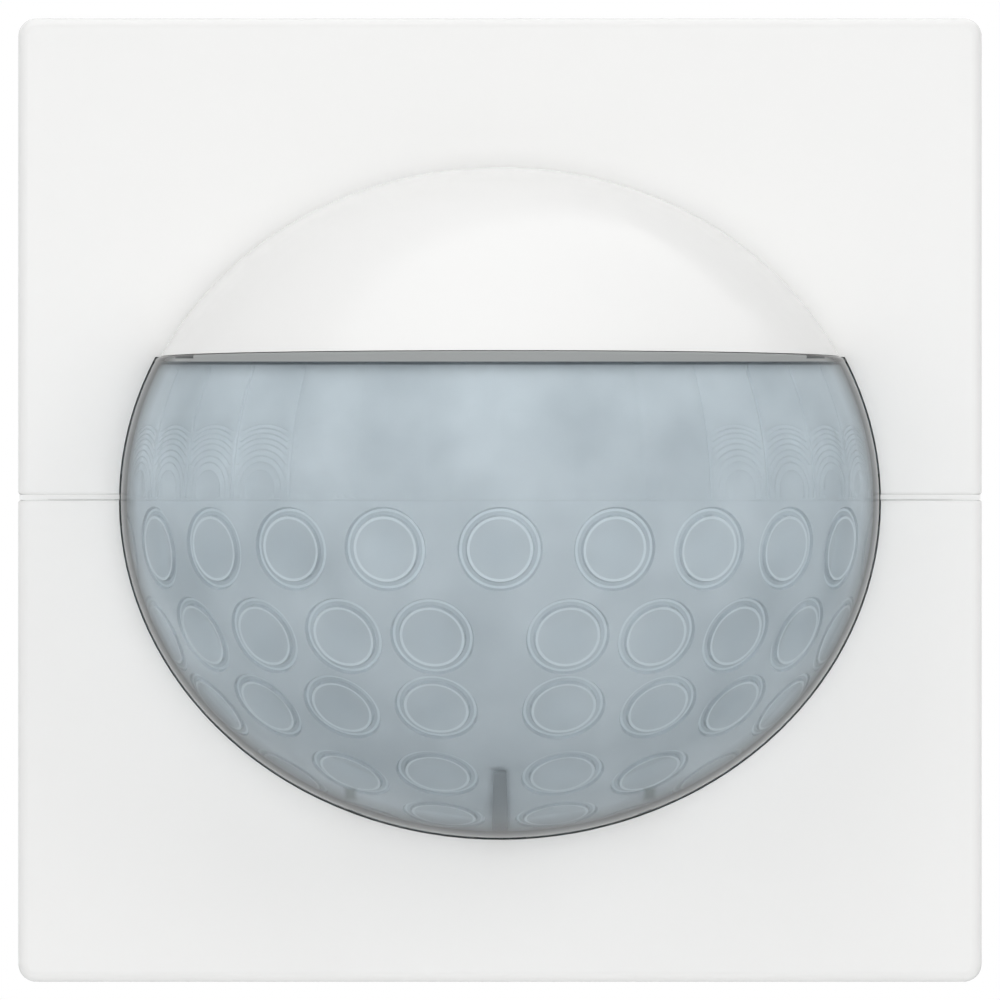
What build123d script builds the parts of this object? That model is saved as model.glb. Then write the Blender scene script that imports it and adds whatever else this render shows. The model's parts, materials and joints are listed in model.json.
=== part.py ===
from build123d import *
from math import atan2, cos, degrees, radians, sin, sqrt, tan
import os

os.makedirs("parts", exist_ok=True)

# A presence detector's sensor attachment for a flush wall insert, in millimetres.
# +Z is up and the front faces -Y. The origin is the centre of the plane where the
# attachment sits on the insert's support ring. A depth is a distance from that plane
# towards the room, so it is negative inside the wall.

# Cover plate
plate_size = 63.0
plate_corner = 1.2
plate_edge = 0.7
plate_front = 9.5
plate_skin = 1.5
skirt_wall = 1.5
skirt_lift = 0.8
seam_height = 0.18
seam_gap = 0.35
seam_round = 0.2
post_radius = 1.2
post_clearance = 0.05
post_end = 4.4

# Dome, shared by the lens and the hood above it
dome_side_margin = 6.77
dome_foot_margin = 9.46
dome_height = -0.08
hood_inset = 0.18
hood_wall = 1.4
hood_edge = 9.34
hood_gap = 0.1

# Lens
lens_wall = 0.55
lens_clearance = 0.15
lens_flange = 1.2
flange_thickness = 0.9
leg_width = 3.0
leg_thickness = 0.8
leg_end = 4.3
leg_hook = 0.35
hook_height = 0.8
slot_play = 0.2
middle_rib_width = 0.82
middle_rib_foot = 1.08
middle_rib_guide_gap = 2.24
side_rib_width = 0.85
side_rib_foot = 0.95
side_rib_depth = 0.9
side_rib_offset = 9.8
side_rib_front = 12.5

# Carrier frame
carrier_gap = 0.3
carrier_wall = 1.3
carrier_corner = 1.0
deck_front = 6.8
deck_thickness = 1.4
sleeve_wall = 0.8
boss_radius = 2.2
pilot_radius = 0.95
pilot_top_wall = 0.9

# Main board
board_front = 3.4
board_thickness = 1.0
board_margin = 0.7
board_corner = 1.5
hole_play = 0.25

# Rear housing
tray_thickness = 1.2
tray_gap = 0.15
tray_corner = 0.8
well_width = 40.0
well_height = 36.0
well_corner = 2.0
well_depth = 7.0
well_wall = 1.4
stud_radius = 0.9
stud_length = 0.9
stud_place = 3.4
stud_play = 0.05

# Housing screws
screw_radius = 0.9
screw_length = 4.4
screw_head_radius = 1.8
screw_head_height = 1.1
screw_recess = 0.2
screw_play = 0.15
cross_length = 2.0
cross_width = 0.5
cross_depth = 0.6
screw_wall_distance = 3.2
screw_dial_gap = 3.6

# Places of the covers' posts
post_wall_distance = 2.0
top_post_wall_distance = 1.4
top_post_offset = 17.0
upper_post_height = 9.6
post_screw_distance = 7.0
post_dial_offset = 3.6
post_dial_height = 5.8

# Plug
pin_pitch = 2.54
pin_columns = 5
pin_rows = 2
pin_side = 0.64
pin_reach = 6.0
header_play = 0.3

# Retaining springs
spring_width = 7.0
spring_thickness = 0.4
spring_start = 1.2
spring_turn = 6.4
spring_bow = 4.4
spring_bulge = 2.4
spring_tip = 1.2
spring_bend = 0.5

# Sensor holder and sensors
holder_width = 18.5
holder_top_gap = 0.09
holder_ridge = 12.6
holder_play = 0.2
sensor_tilt = 30.0
sensor_board_width = 10.0
sensor_board_overhang = 0.4
sensor_board_margin = 0.2
sensor_board_thickness = 1.0
ridge_margin = 0.3
can_flange_radius = 4.55
can_flange_height = 0.4
can_radius = 4.1
can_height = 3.6
window_width = 4.6
window_height = 3.6
window_depth = 0.4
window_thickness = 0.3
lead_radius = 0.22
lead_circle_radius = 2.54
lead_count = 3
lead_end = 1.4
pocket_radius = 3.4
pocket_depth = 2.0
link_pin_side = 0.5
link_pin_gap = 0.25
link_pin_offsets = (4.0, 5.5, 7.0)
link_clearance = 0.4

# Brightness sensor, its light guide and the status light
guide_height = -13.0
guide_radius = 1.5
guide_head_radius = 1.9
guide_front = 12.0
guide_play = 0.1
light_sensor_size = 3.2
light_sensor_thickness = 1.1
guide_gap = 0.1
status_offset = 6.2
status_radius = 1.5
status_flange_radius = 1.9
status_flange_height = 1.0
status_front = 9.4

# Trimmers and their dials
trimmer_size = 6.4
trimmer_height = 1.8
dial_radius = 2.8
dial_front = 7.4
dial_play = 0.3
dial_lift = 0.1
dial_slot_width = 0.8
dial_slot_length = 3.6
dial_slot_depth = 0.9
dial_arrow_size = 0.9
dial_arrow_offset = 1.7
stem_radius = 1.0
stem_length = 1.3
stem_play = 0.05
trimmer_wall_gap = 0.8
dial_lens_gap = 0.9
scale_marks = 7
scale_mark_length = 0.8
scale_mark_width = 0.3
scale_mark_depth = 0.2
scale_sweep = 270.0

# Mode switch
switch_width = 8.0
switch_height = 3.6
switch_body_height = 1.6
slider_width = 1.8
slider_height = 1.6
slider_foot_width = 2.6
slider_foot_height = 2.2
slider_foot_thickness = 0.4
slider_front = 7.5
slider_travel = 2.0
slider_play = 0.2
slider_groove = 0.5

# Test button
button_lens_gap = 0.5
button_radius = 1.5
button_front = 7.5
button_collar_radius = 2.0
button_collar_height = 0.4
button_travel = 0.5
button_play = 0.1
button_body_size = 3.6
button_body_height = 0.9

# Components on the back of the main board
chip_size = 9.0
chip_thickness = 1.2
chip_place = (-9.0, 5.0)
regulator_width = 6.5
regulator_height = 3.5
regulator_thickness = 1.6
regulator_place = (10.5, 9.5)
coil_radius = 3.0
coil_neck_radius = 2.0
coil_flange_height = 0.8
coil_height = 4.4
coil_place = (11.0, 1.0)
capacitor_radius = 2.6
capacitor_height = 6.6
capacitor_wall_gap = 2.0
capacitor_row = -9.5
small_width = 2.0
small_height = 1.25
small_thickness = 0.8
small_spacing = (4.0, 2.5)
small_columns = 2
small_rows = 3
small_places = [(0.0, 8.5), (-9.5, -3.0)]
header_place = -8.8

# Sizes that follow from the ones above
cover_underside = plate_front - plate_skin
dome_half_width = plate_size / 2 - dome_side_margin
dome_half_height = plate_size / 2 - dome_foot_margin + dome_height
carrier_size = plate_size - 2 * (skirt_wall + carrier_gap)
inside_size = carrier_size - 2 * carrier_wall
deck_rear = deck_front - deck_thickness
board_rear = board_front - board_thickness
lens_top = hood_edge - hood_gap
well_floor = well_wall - well_depth
half_holder = holder_width / 2
holder_height = 2 * (lens_top - lens_wall - holder_top_gap)
sensor_board_height = holder_height + sensor_board_overhang
dome_foot = dome_height - dome_half_height
middle_rib_depth = guide_height - guide_head_radius - middle_rib_guide_gap - dome_foot
link_pin_height = -(holder_height + link_pin_side) / 2 - link_pin_gap


def beside_lens(height, reach):
    """How far from the middle a round piece of a reach clears the lens flange at a height."""
    half_width = dome_half_width + lens_flange + reach
    half_height = dome_half_height + lens_flange + reach
    return half_width * sqrt(1 - ((height - dome_height) / half_height) ** 2)


# Places that follow from the carrier's walls and the lens
corner_place = inside_size / 2 - trimmer_wall_gap - trimmer_size / 2
dial_row = -corner_place
inner_place = beside_lens(dial_row, dial_radius + dial_lens_gap)
dial_places = {"time": -corner_place, "brightness": -inner_place, "range": corner_place}
switch_place = inner_place
button_height = dome_foot - lens_flange - button_lens_gap - button_radius
screw_place = inside_size / 2 - screw_wall_distance
lower_screw_height = dial_row + trimmer_size / 2 + boss_radius + screw_dial_gap
post_place = inside_size / 2 - post_wall_distance
capacitor_place = well_width / 2 - well_wall - capacitor_radius - capacitor_wall_gap


def both_sides(across, up):
    """A point and its mirror image across the middle."""
    return [(-across, up), (across, up)]


screw_points = both_sides(screw_place, screw_place) + both_sides(screw_place, lower_screw_height)
top_post_height = inside_size / 2 - top_post_wall_distance
upper_posts = both_sides(post_place, upper_post_height)
upper_posts += both_sides(top_post_offset, top_post_height)
lower_posts = both_sides(post_place, lower_screw_height + post_screw_distance)
lower_posts += both_sides(corner_place - post_dial_offset, dial_row + post_dial_height)


def level(depth):
    """A plane facing the room at a depth, with X to the right and Z up."""
    return Plane.XZ.offset(depth)


def lens_outline(depth, half_width, half_height, top):
    """The dome's ellipse at a depth, cut straight across at a height."""
    with BuildSketch(level(depth)) as outline:
        with Locations((0, dome_height)):
            Ellipse(half_width, half_height)
        with Locations((0, top + half_height)):
            Rectangle(4 * half_width, 2 * half_height, mode=Mode.SUBTRACT)
    return outline.sketch


def dome(half_width, half_height, rear):
    """A half spheroid in front of the plate, with a straight wall back to a depth."""
    with BuildPart() as body:
        with BuildSketch(level(plate_front)):
            with Locations((0, dome_height)):
                Ellipse(half_width, half_height)
            with Locations((-half_width, dome_height)):
                Rectangle(2 * half_width, 3 * half_height, mode=Mode.SUBTRACT)
        revolve(axis=Axis((0, -plate_front, 0), (0, 0, -1)), revolution_arc=180)
        with BuildSketch(level(rear)):
            with Locations((0, dome_height)):
                Ellipse(half_width, half_height)
        extrude(amount=plate_front - rear)
    return body.part


def cover_blank():
    """The whole cover plate before it is divided: front skin and skirt."""
    with BuildPart() as blank:
        with BuildSketch(level(skirt_lift)):
            RectangleRounded(plate_size, plate_size, plate_corner)
        extrude(amount=plate_front - skirt_lift)
        fillet(blank.faces().sort_by(Axis.Y)[0].edges(), plate_edge)
        with BuildSketch(level(skirt_lift)):
            Rectangle(plate_size - 2 * skirt_wall, plate_size - 2 * skirt_wall)
        extrude(amount=cover_underside - skirt_lift, mode=Mode.SUBTRACT)
    return blank.part


def seam_edge(cover, height):
    """The front edges of a half cover along the seam."""
    along = cover.edges().filter_by(Axis.X)
    at_seam = along.filter_by_position(Axis.Z, height - 0.01, height + 0.01)
    return at_seam.filter_by_position(Axis.Y, -plate_front - 0.01, -plate_front + 0.01)


def add_posts(points):
    """Posts under a half cover that plug into the carrier's sleeves."""
    with BuildSketch(level(post_end)) as posts:
        with Locations(*points):
            Circle(post_radius)
    extrude(posts.sketch, amount=cover_underside - post_end)


# Upper cover with the hood
with BuildPart() as hood_shape:
    add(dome(dome_half_width - hood_inset, dome_half_height - hood_inset, cover_underside))
    split(bisect_by=Plane.XY.offset(hood_edge), keep=Keep.TOP)

with BuildPart() as hood_hollow:
    hollow_inset = hood_inset + hood_wall
    add(dome(dome_half_width - hollow_inset, dome_half_height - hollow_inset, skirt_lift))

with BuildPart() as upper_cover:
    add(cover_blank())
    add(hood_shape.part)
    add(hood_hollow.part, mode=Mode.SUBTRACT)
    opening_width = dome_half_width + lens_clearance
    opening_height = dome_half_height + lens_clearance
    opening = lens_outline(skirt_lift, opening_width, opening_height, hood_edge)
    extrude(opening, amount=plate_front - skirt_lift, mode=Mode.SUBTRACT)
    split(bisect_by=Plane.XY.offset(seam_height + seam_gap / 2), keep=Keep.TOP)
    fillet(seam_edge(upper_cover, seam_height + seam_gap / 2), seam_round)
    add_posts(upper_posts)
upper_cover.part.label = "upper_cover"
export_step(upper_cover.part, "parts/upper_cover.step")

# Lower cover
with BuildPart() as lower_cover:
    add(cover_blank())
    opening = lens_outline(skirt_lift, opening_width, opening_height, hood_edge)
    extrude(opening, amount=plate_front - skirt_lift, mode=Mode.SUBTRACT)
    split(bisect_by=Plane.XY.offset(seam_height - seam_gap / 2), keep=Keep.BOTTOM)
    fillet(seam_edge(lower_cover, seam_height - seam_gap / 2), seam_round)
    add_posts(lower_posts)
lower_cover.part.label = "lower_cover"
export_step(lower_cover.part, "parts/lower_cover.step")

# Places of the lens legs on the middle of the lens wall, with the way each hook points
wall_middle = lens_wall / 2
chord_leg_height = lens_top + lens_flange / 2
foot_leg_height = dome_foot + wall_middle
side_leg_offset = dome_half_width - wall_middle
legs = [
    ((-side_leg_offset, 0), (-1, 0)),
    ((side_leg_offset, 0), (1, 0)),
    ((-14.0, chord_leg_height), (0, 1)),
    ((14.0, chord_leg_height), (0, 1)),
    ((0, foot_leg_height), (0, -1)),
]


def leg_box(leg, rear, front, play=0, hook=0, mode=Mode.ADD):
    """A lens leg, its hook or its slot: a box between two depths, lengthened one way."""
    (across, up), (way_across, way_up) = leg
    thickness = leg_thickness + 2 * play + hook
    width = leg_width + 2 * play
    with BuildSketch(level(rear)) as box:
        with Locations((across + way_across * hook / 2, up + way_up * hook / 2)):
            if way_across:
                Rectangle(thickness, width)
            else:
                Rectangle(width, thickness)
    extrude(box.sketch, amount=front - rear, mode=mode)


# Lens
with BuildPart() as lens_cavity:
    add(dome(dome_half_width - lens_wall, dome_half_height - lens_wall, deck_front))
    split(bisect_by=Plane.XY.offset(lens_top - lens_wall), keep=Keep.BOTTOM)

def lens_rib(offset, tip, foot, depth, front):
    """A rib inside the lower edge of the lens, square to the dome's outline."""
    share = offset / dome_half_width
    drop = sqrt(1 - share**2)
    lean = atan2(share * dome_half_height, drop * dome_half_width)
    edge_point = (offset, -deck_front, dome_height - dome_half_height * drop)
    across = (cos(lean), 0, sin(lean))
    with BuildPart() as rib:
        add(dome(dome_half_width - wall_middle, dome_half_height - wall_middle, deck_front))
        with BuildSketch(Plane(origin=edge_point, x_dir=across, z_dir=(0, -1, 0))):
            with Locations((0, depth / 2)):
                Trapezoid(foot, depth, degrees(atan2(depth, (foot - tip) / 2)))
        extrude(amount=front - deck_front, mode=Mode.INTERSECT)
    return rib.part


with BuildPart() as fresnel_lens:
    add(dome(dome_half_width, dome_half_height, deck_front))
    split(bisect_by=Plane.XY.offset(lens_top), keep=Keep.BOTTOM)
    flange_width = dome_half_width + lens_flange
    flange_height = dome_half_height + lens_flange
    flange = lens_outline(deck_front, flange_width, flange_height, lens_top + lens_flange)
    extrude(flange, amount=flange_thickness)
    add(lens_cavity.part, mode=Mode.SUBTRACT)
    dome_front = plate_front + dome_half_width
    add(lens_rib(0, middle_rib_width, middle_rib_foot, middle_rib_depth, dome_front))
    for side in (-1, 1):
        rib_offset = side * side_rib_offset
        rib_depth = side_rib_depth + lens_wall
        add(lens_rib(rib_offset, side_rib_width, side_rib_foot, rib_depth, side_rib_front))
    for leg in legs:
        leg_box(leg, leg_end, deck_front)
        leg_box(leg, leg_end, leg_end + hook_height, hook=leg_hook)
fresnel_lens.part.label = "fresnel_lens"
export_step(fresnel_lens.part, "parts/fresnel_lens.step")

# Carrier frame
with BuildPart() as carrier_frame:
    with BuildSketch(level(0)):
        RectangleRounded(carrier_size, carrier_size, carrier_corner)
    extrude(amount=deck_front)
    with BuildSketch(level(0)):
        Rectangle(inside_size, inside_size)
    extrude(amount=deck_rear, mode=Mode.SUBTRACT)
    with BuildSketch(level(board_front)):
        with Locations(*screw_points):
            Circle(boss_radius)
    extrude(amount=deck_rear - board_front)
    with BuildSketch(level(post_end)):
        with Locations(*upper_posts, *lower_posts):
            Circle(post_radius + post_clearance + sleeve_wall)
    extrude(amount=deck_rear - post_end)
    with BuildSketch(level(post_end)):
        with Locations(*upper_posts, *lower_posts):
            Circle(post_radius + post_clearance)
    extrude(amount=deck_front - post_end, mode=Mode.SUBTRACT)
    with BuildSketch(level(board_front)):
        with Locations(*screw_points):
            Circle(pilot_radius)
    extrude(amount=deck_front - pilot_top_wall - board_front, mode=Mode.SUBTRACT)
    with BuildSketch(level(deck_rear)):
        for offset in dial_places.values():
            with Locations((offset, dial_row)):
                Circle(dial_radius + dial_play)
        with Locations((switch_place, dial_row)):
            slot_length = slider_width + 2 * (slider_travel + slider_play)
            Rectangle(slot_length, slider_height + 2 * slider_play)
        with Locations((0, button_height)):
            Circle(button_radius + button_play)
        with Locations((0, guide_height)):
            Circle(guide_radius + guide_play)
        with Locations((status_offset, guide_height)):
            Circle(status_radius + guide_play)
        opening_bottom = link_pin_height - link_pin_side / 2 - link_clearance
        opening_top = holder_height / 2 + holder_play
        with Locations((0, (opening_top + opening_bottom) / 2)):
            Rectangle(holder_width + 2 * holder_play, opening_top - opening_bottom)
    extrude(amount=deck_thickness, mode=Mode.SUBTRACT)
    for leg in legs:
        leg_box(leg, deck_rear, deck_front, slot_play, leg_hook, Mode.SUBTRACT)
    with BuildSketch(level(deck_front - scale_mark_depth)):
        for offset in dial_places.values():
            with Locations((offset, dial_row)):
                mark_circle = dial_radius + dial_play + scale_mark_length
                with PolarLocations(mark_circle, scale_marks, -45, scale_sweep, endpoint=True):
                    Rectangle(scale_mark_length, scale_mark_width)
    extrude(amount=scale_mark_depth, mode=Mode.SUBTRACT)
carrier_frame.part.label = "carrier_frame"
export_step(carrier_frame.part, "parts/carrier_frame.step")

# Rear housing with the well that goes into the wall insert
header_width = pin_columns * pin_pitch
header_height = pin_rows * pin_pitch
with BuildPart() as rear_housing:
    with BuildSketch(level(0)):
        tray_size = inside_size - 2 * tray_gap
        RectangleRounded(tray_size, tray_size, tray_corner)
    extrude(amount=tray_thickness)
    with BuildSketch(level(-well_depth)):
        RectangleRounded(well_width, well_height, well_corner)
    extrude(amount=well_depth)
    with BuildSketch(level(tray_thickness)):
        with Locations(*screw_points):
            Circle(boss_radius)
    extrude(amount=board_rear - tray_thickness)
    with BuildSketch(level(well_floor)):
        RectangleRounded(well_width - 2 * well_wall, well_height - 2 * well_wall, well_corner)
    extrude(amount=tray_thickness - well_floor, mode=Mode.SUBTRACT)
    with BuildSketch(level(-well_depth)):
        with Locations((0, header_place)):
            Rectangle(header_width + 2 * header_play, header_height + 2 * header_play)
    extrude(amount=well_wall, mode=Mode.SUBTRACT)
    with BuildSketch(level(0)):
        with Locations(*screw_points):
            Circle(screw_radius + screw_play)
    extrude(amount=board_rear, mode=Mode.SUBTRACT)
    with BuildSketch(level(0)):
        with Locations(*screw_points):
            Circle(screw_head_radius + screw_play)
    extrude(amount=screw_recess + screw_head_height, mode=Mode.SUBTRACT)
    for side in (-1, 1):
        with BuildSketch(Plane.YZ.offset(side * well_width / 2)):
            with Locations((stud_place, 0)):
                Circle(stud_radius)
        extrude(amount=side * stud_length)
rear_housing.part.label = "rear_housing"
export_step(rear_housing.part, "parts/rear_housing.step")

# Housing screws, driven from behind
head_seat = screw_recess + screw_head_height
with BuildPart() as housing_screws:
    with BuildSketch(level(screw_recess)):
        with Locations(*screw_points):
            Circle(screw_head_radius)
    extrude(amount=screw_head_height)
    with BuildSketch(level(head_seat)):
        with Locations(*screw_points):
            Circle(screw_radius)
    extrude(amount=screw_length)
    with BuildSketch(level(screw_recess)):
        with Locations(*screw_points):
            Rectangle(cross_length, cross_width)
            Rectangle(cross_width, cross_length)
    extrude(amount=cross_depth, mode=Mode.SUBTRACT)
housing_screws.part.label = "housing_screws"
export_step(housing_screws.part, "parts/housing_screws.step")

# Main board
board_size = inside_size - 2 * board_margin
with BuildPart() as main_board:
    with BuildSketch(level(board_rear)):
        RectangleRounded(board_size, board_size, board_corner)
        with Locations(*screw_points):
            Circle(screw_radius + hole_play, mode=Mode.SUBTRACT)
    extrude(amount=board_thickness)
main_board.part.label = "main_board"
export_step(main_board.part, "parts/main_board.step")

# Sensor holder, a block with two slanted faces
side_front = holder_ridge - half_holder * tan(radians(sensor_tilt))
face_length = half_holder / cos(radians(sensor_tilt))


def slanted(side, lift):
    """The plane of one slanted face, at its middle, raised off it, facing the room."""
    along = face_length / 2
    x = side * (along * cos(radians(sensor_tilt)) + lift * sin(radians(sensor_tilt)))
    depth = holder_ridge - along * sin(radians(sensor_tilt)) + lift * cos(radians(sensor_tilt))
    facing = (side * sin(radians(sensor_tilt)), -cos(radians(sensor_tilt)), 0)
    return Plane(origin=(x, -depth, 0), x_dir=(0, 0, 1), z_dir=facing)


with BuildPart() as sensor_holder:
    with BuildSketch(Plane.XY):
        with BuildLine():
            Polyline(
                (-half_holder, -board_front),
                (half_holder, -board_front),
                (half_holder, -side_front),
                (0, -holder_ridge),
                (-half_holder, -side_front),
                close=True,
            )
        make_face()
    extrude(amount=holder_height / 2, both=True)
    for side in (-1, 1):
        with BuildSketch(slanted(side, -pocket_depth)):
            Circle(pocket_radius)
        extrude(amount=pocket_depth, mode=Mode.SUBTRACT)
sensor_holder.part.label = "sensor_holder"
export_step(sensor_holder.part, "parts/sensor_holder.step")

# Boards, sensors and windows on the slanted faces
board_shift = (face_length - sensor_board_width) / 2 - ridge_margin
board_middle = (holder_height - sensor_board_height) / 2 - sensor_board_margin
for side, side_name in ((-1, "left"), (1, "right")):
    with BuildPart() as sensor_board:
        with BuildSketch(slanted(side, 0)):
            with Locations((board_middle, side * board_shift)):
                Rectangle(sensor_board_height, sensor_board_width)
            with PolarLocations(lead_circle_radius, lead_count, 0, 180, endpoint=True):
                Circle(lead_radius, mode=Mode.SUBTRACT)
        extrude(amount=sensor_board_thickness)
    sensor_board.part.label = f"sensor_board_{side_name}"
    export_step(sensor_board.part, f"parts/sensor_board_{side_name}.step")

    with BuildPart() as heat_sensor:
        with BuildSketch(slanted(side, sensor_board_thickness)):
            Circle(can_flange_radius)
        extrude(amount=can_flange_height)
        with BuildSketch(slanted(side, sensor_board_thickness)):
            Circle(can_radius)
        extrude(amount=can_height)
        with BuildSketch(slanted(side, sensor_board_thickness + can_height - window_depth)):
            Rectangle(window_height, window_width)
        extrude(amount=window_depth, mode=Mode.SUBTRACT)
        with BuildSketch(slanted(side, -lead_end)):
            with PolarLocations(lead_circle_radius, lead_count, 0, 180, endpoint=True):
                Circle(lead_radius)
        extrude(amount=lead_end + sensor_board_thickness)
    heat_sensor.part.label = f"heat_sensor_{side_name}"
    export_step(heat_sensor.part, f"parts/heat_sensor_{side_name}.step")

    with BuildPart() as sensor_window:
        with BuildSketch(slanted(side, sensor_board_thickness + can_height - window_depth)):
            Rectangle(window_height, window_width)
        extrude(amount=window_thickness)
    sensor_window.part.label = f"sensor_window_{side_name}"
    export_step(sensor_window.part, f"parts/sensor_window_{side_name}.step")

# Straight pins from the main board up to the backs of the slanted boards
with BuildPart() as link_pins:
    for offset in link_pin_offsets:
        front = holder_ridge - (offset + link_pin_side / 2) * tan(radians(sensor_tilt))
        with BuildSketch(level(board_front)):
            with Locations((-offset, link_pin_height), (offset, link_pin_height)):
                Rectangle(link_pin_side, link_pin_side)
        extrude(amount=front - board_front)
link_pins.part.label = "link_pins"
export_step(link_pins.part, "parts/link_pins.step")

# Brightness sensor and light guide
with BuildPart() as light_sensor:
    with BuildSketch(level(board_front)):
        with Locations((0, guide_height)):
            Rectangle(light_sensor_size, light_sensor_size)
    extrude(amount=light_sensor_thickness)
light_sensor.part.label = "light_sensor"
export_step(light_sensor.part, "parts/light_sensor.step")

guide_rear = board_front + light_sensor_thickness + guide_gap
with BuildPart() as light_guide:
    with BuildSketch(level(guide_rear)):
        with Locations((0, guide_height)):
            Circle(guide_radius)
    extrude(amount=guide_front - guide_rear)
    with BuildSketch(level(deck_front)):
        with Locations((0, guide_height)):
            Circle(guide_head_radius)
    extrude(amount=guide_front - deck_front)
    fillet(light_guide.faces().sort_by(Axis.Y)[0].edges(), guide_radius / 2)
light_guide.part.label = "light_guide"
export_step(light_guide.part, "parts/light_guide.step")

# Status light
with BuildPart() as status_light:
    with BuildSketch(level(board_front)):
        with Locations((status_offset, guide_height)):
            Circle(status_flange_radius)
    extrude(amount=status_flange_height)
    with BuildSketch(level(board_front)):
        with Locations((status_offset, guide_height)):
            Circle(status_radius)
    extrude(amount=status_front - board_front)
    fillet(status_light.faces().sort_by(Axis.Y)[0].edges(), status_radius * 0.8)
status_light.part.label = "status_light"
export_step(status_light.part, "parts/status_light.step")

# Trimmers and dials
trimmer_front = board_front + trimmer_height
dial_rear = trimmer_front + dial_lift
for dial_name, offset in dial_places.items():
    with BuildPart() as trimmer:
        with BuildSketch(level(board_front)):
            with Locations((offset, dial_row)):
                Rectangle(trimmer_size, trimmer_size)
                Circle(stem_radius + stem_play, mode=Mode.SUBTRACT)
        extrude(amount=trimmer_height)
    trimmer.part.label = f"{dial_name}_trimmer"
    export_step(trimmer.part, f"parts/{dial_name}_trimmer.step")

    with BuildPart() as dial:
        with BuildSketch(level(dial_rear)):
            with Locations((offset, dial_row)):
                Circle(dial_radius)
        extrude(amount=dial_front - dial_rear)
        with BuildSketch(level(dial_rear - stem_length)):
            with Locations((offset, dial_row)):
                Circle(stem_radius)
        extrude(amount=stem_length)
        with BuildSketch(level(dial_front - dial_slot_depth)):
            with Locations((offset, dial_row)):
                Rectangle(dial_slot_width, dial_slot_length)
            with Locations((offset, dial_row + dial_arrow_offset)):
                RegularPolygon(dial_arrow_size, 3, rotation=90)
        extrude(amount=dial_slot_depth, mode=Mode.SUBTRACT)
    dial.part.label = f"{dial_name}_dial"
    export_step(dial.part, f"parts/{dial_name}_dial.step")

# Mode switch
switch_front = board_front + switch_body_height
with BuildPart() as mode_switch:
    with BuildSketch(level(board_front)):
        with Locations((switch_place, dial_row)):
            Rectangle(switch_width, switch_height)
    extrude(amount=switch_body_height)
    with BuildSketch(level(switch_front - slider_foot_thickness - slider_play)):
        with Locations((switch_place, dial_row)):
            track = slider_foot_width + 2 * (slider_travel + slider_play)
            Rectangle(track, slider_foot_height + 2 * slider_play)
    extrude(amount=slider_foot_thickness + slider_play, mode=Mode.SUBTRACT)
mode_switch.part.label = "mode_switch"
export_step(mode_switch.part, "parts/mode_switch.step")

slider_rear = switch_front - slider_foot_thickness
with BuildPart() as mode_slider:
    with BuildSketch(level(slider_rear)):
        with Locations((switch_place, dial_row)):
            Rectangle(slider_foot_width, slider_foot_height)
    extrude(amount=slider_foot_thickness)
    with BuildSketch(level(slider_rear)):
        with Locations((switch_place, dial_row)):
            Rectangle(slider_width, slider_height)
    extrude(amount=slider_front - slider_rear)
    with BuildSketch(level(slider_front - slider_groove)):
        with Locations((switch_place, dial_row)):
            Rectangle(slider_width / 3, slider_height)
    extrude(amount=slider_groove, mode=Mode.SUBTRACT)
mode_slider.part.label = "mode_slider"
export_step(mode_slider.part, "parts/mode_slider.step")

# Test button
button_body_front = board_front + button_body_height
with BuildPart() as button_switch:
    with BuildSketch(level(board_front)):
        with Locations((0, button_height)):
            Rectangle(button_body_size, button_body_size)
    extrude(amount=button_body_height)
button_switch.part.label = "button_switch"
export_step(button_switch.part, "parts/button_switch.step")

button_rear = button_body_front + button_travel + button_play
with BuildPart() as test_button:
    with BuildSketch(level(button_rear)):
        with Locations((0, button_height)):
            Circle(button_collar_radius)
    extrude(amount=button_collar_height)
    with BuildSketch(level(button_rear)):
        with Locations((0, button_height)):
            Circle(button_radius)
    extrude(amount=button_front - button_rear)
    fillet(test_button.faces().sort_by(Axis.Y)[0].edges(), button_radius / 4)
test_button.part.label = "test_button"
export_step(test_button.part, "parts/test_button.step")

# Plug
pin_grid = [
    ((column - (pin_columns - 1) / 2) * pin_pitch, header_place + (row - 0.5) * pin_pitch)
    for column in range(pin_columns)
    for row in range(pin_rows)
]
header_rear = -well_depth
with BuildPart() as pin_header:
    with BuildSketch(level(header_rear)):
        with Locations((0, header_place)):
            Rectangle(header_width, header_height)
        with Locations(*pin_grid):
            Rectangle(pin_side, pin_side, mode=Mode.SUBTRACT)
    extrude(amount=board_rear - header_rear)
pin_header.part.label = "pin_header"
export_step(pin_header.part, "parts/pin_header.step")

with BuildPart() as plug_pins:
    with BuildSketch(level(header_rear - pin_reach)):
        with Locations(*pin_grid):
            Rectangle(pin_side, pin_side)
    extrude(amount=board_rear - header_rear + pin_reach)
plug_pins.part.label = "plug_pins"
export_step(plug_pins.part, "parts/plug_pins.step")

# Retaining springs, hooked over studs on the sides of the well
spring_line = well_width / 2 + spring_thickness / 2
for side, side_name in ((-1, "left"), (1, "right")):
    with BuildPart() as retaining_spring:
        with BuildSketch(Plane.XY):
            with BuildLine() as spring_path:
                FilletPolyline(
                    (side * spring_line, spring_start),
                    (side * spring_line, spring_turn),
                    (side * (spring_line + spring_bulge), spring_bow),
                    (side * (spring_line + spring_tip), spring_start),
                    radius=spring_bend,
                )
            trace(spring_path.line, line_width=spring_thickness)
        extrude(amount=spring_width / 2, both=True)
        with BuildSketch(Plane.YZ.offset(side * well_width / 2)):
            with Locations((stud_place, 0)):
                Circle(stud_radius + stud_play)
        extrude(amount=side * spring_thickness, mode=Mode.SUBTRACT)
    retaining_spring.part.label = f"retaining_spring_{side_name}"
    export_step(retaining_spring.part, f"parts/retaining_spring_{side_name}.step")

# Components on the back of the main board
with BuildPart() as controller_chip:
    with BuildSketch(level(board_rear - chip_thickness)):
        with Locations(chip_place):
            Rectangle(chip_size, chip_size)
    extrude(amount=chip_thickness)
controller_chip.part.label = "controller_chip"
export_step(controller_chip.part, "parts/controller_chip.step")

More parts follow.
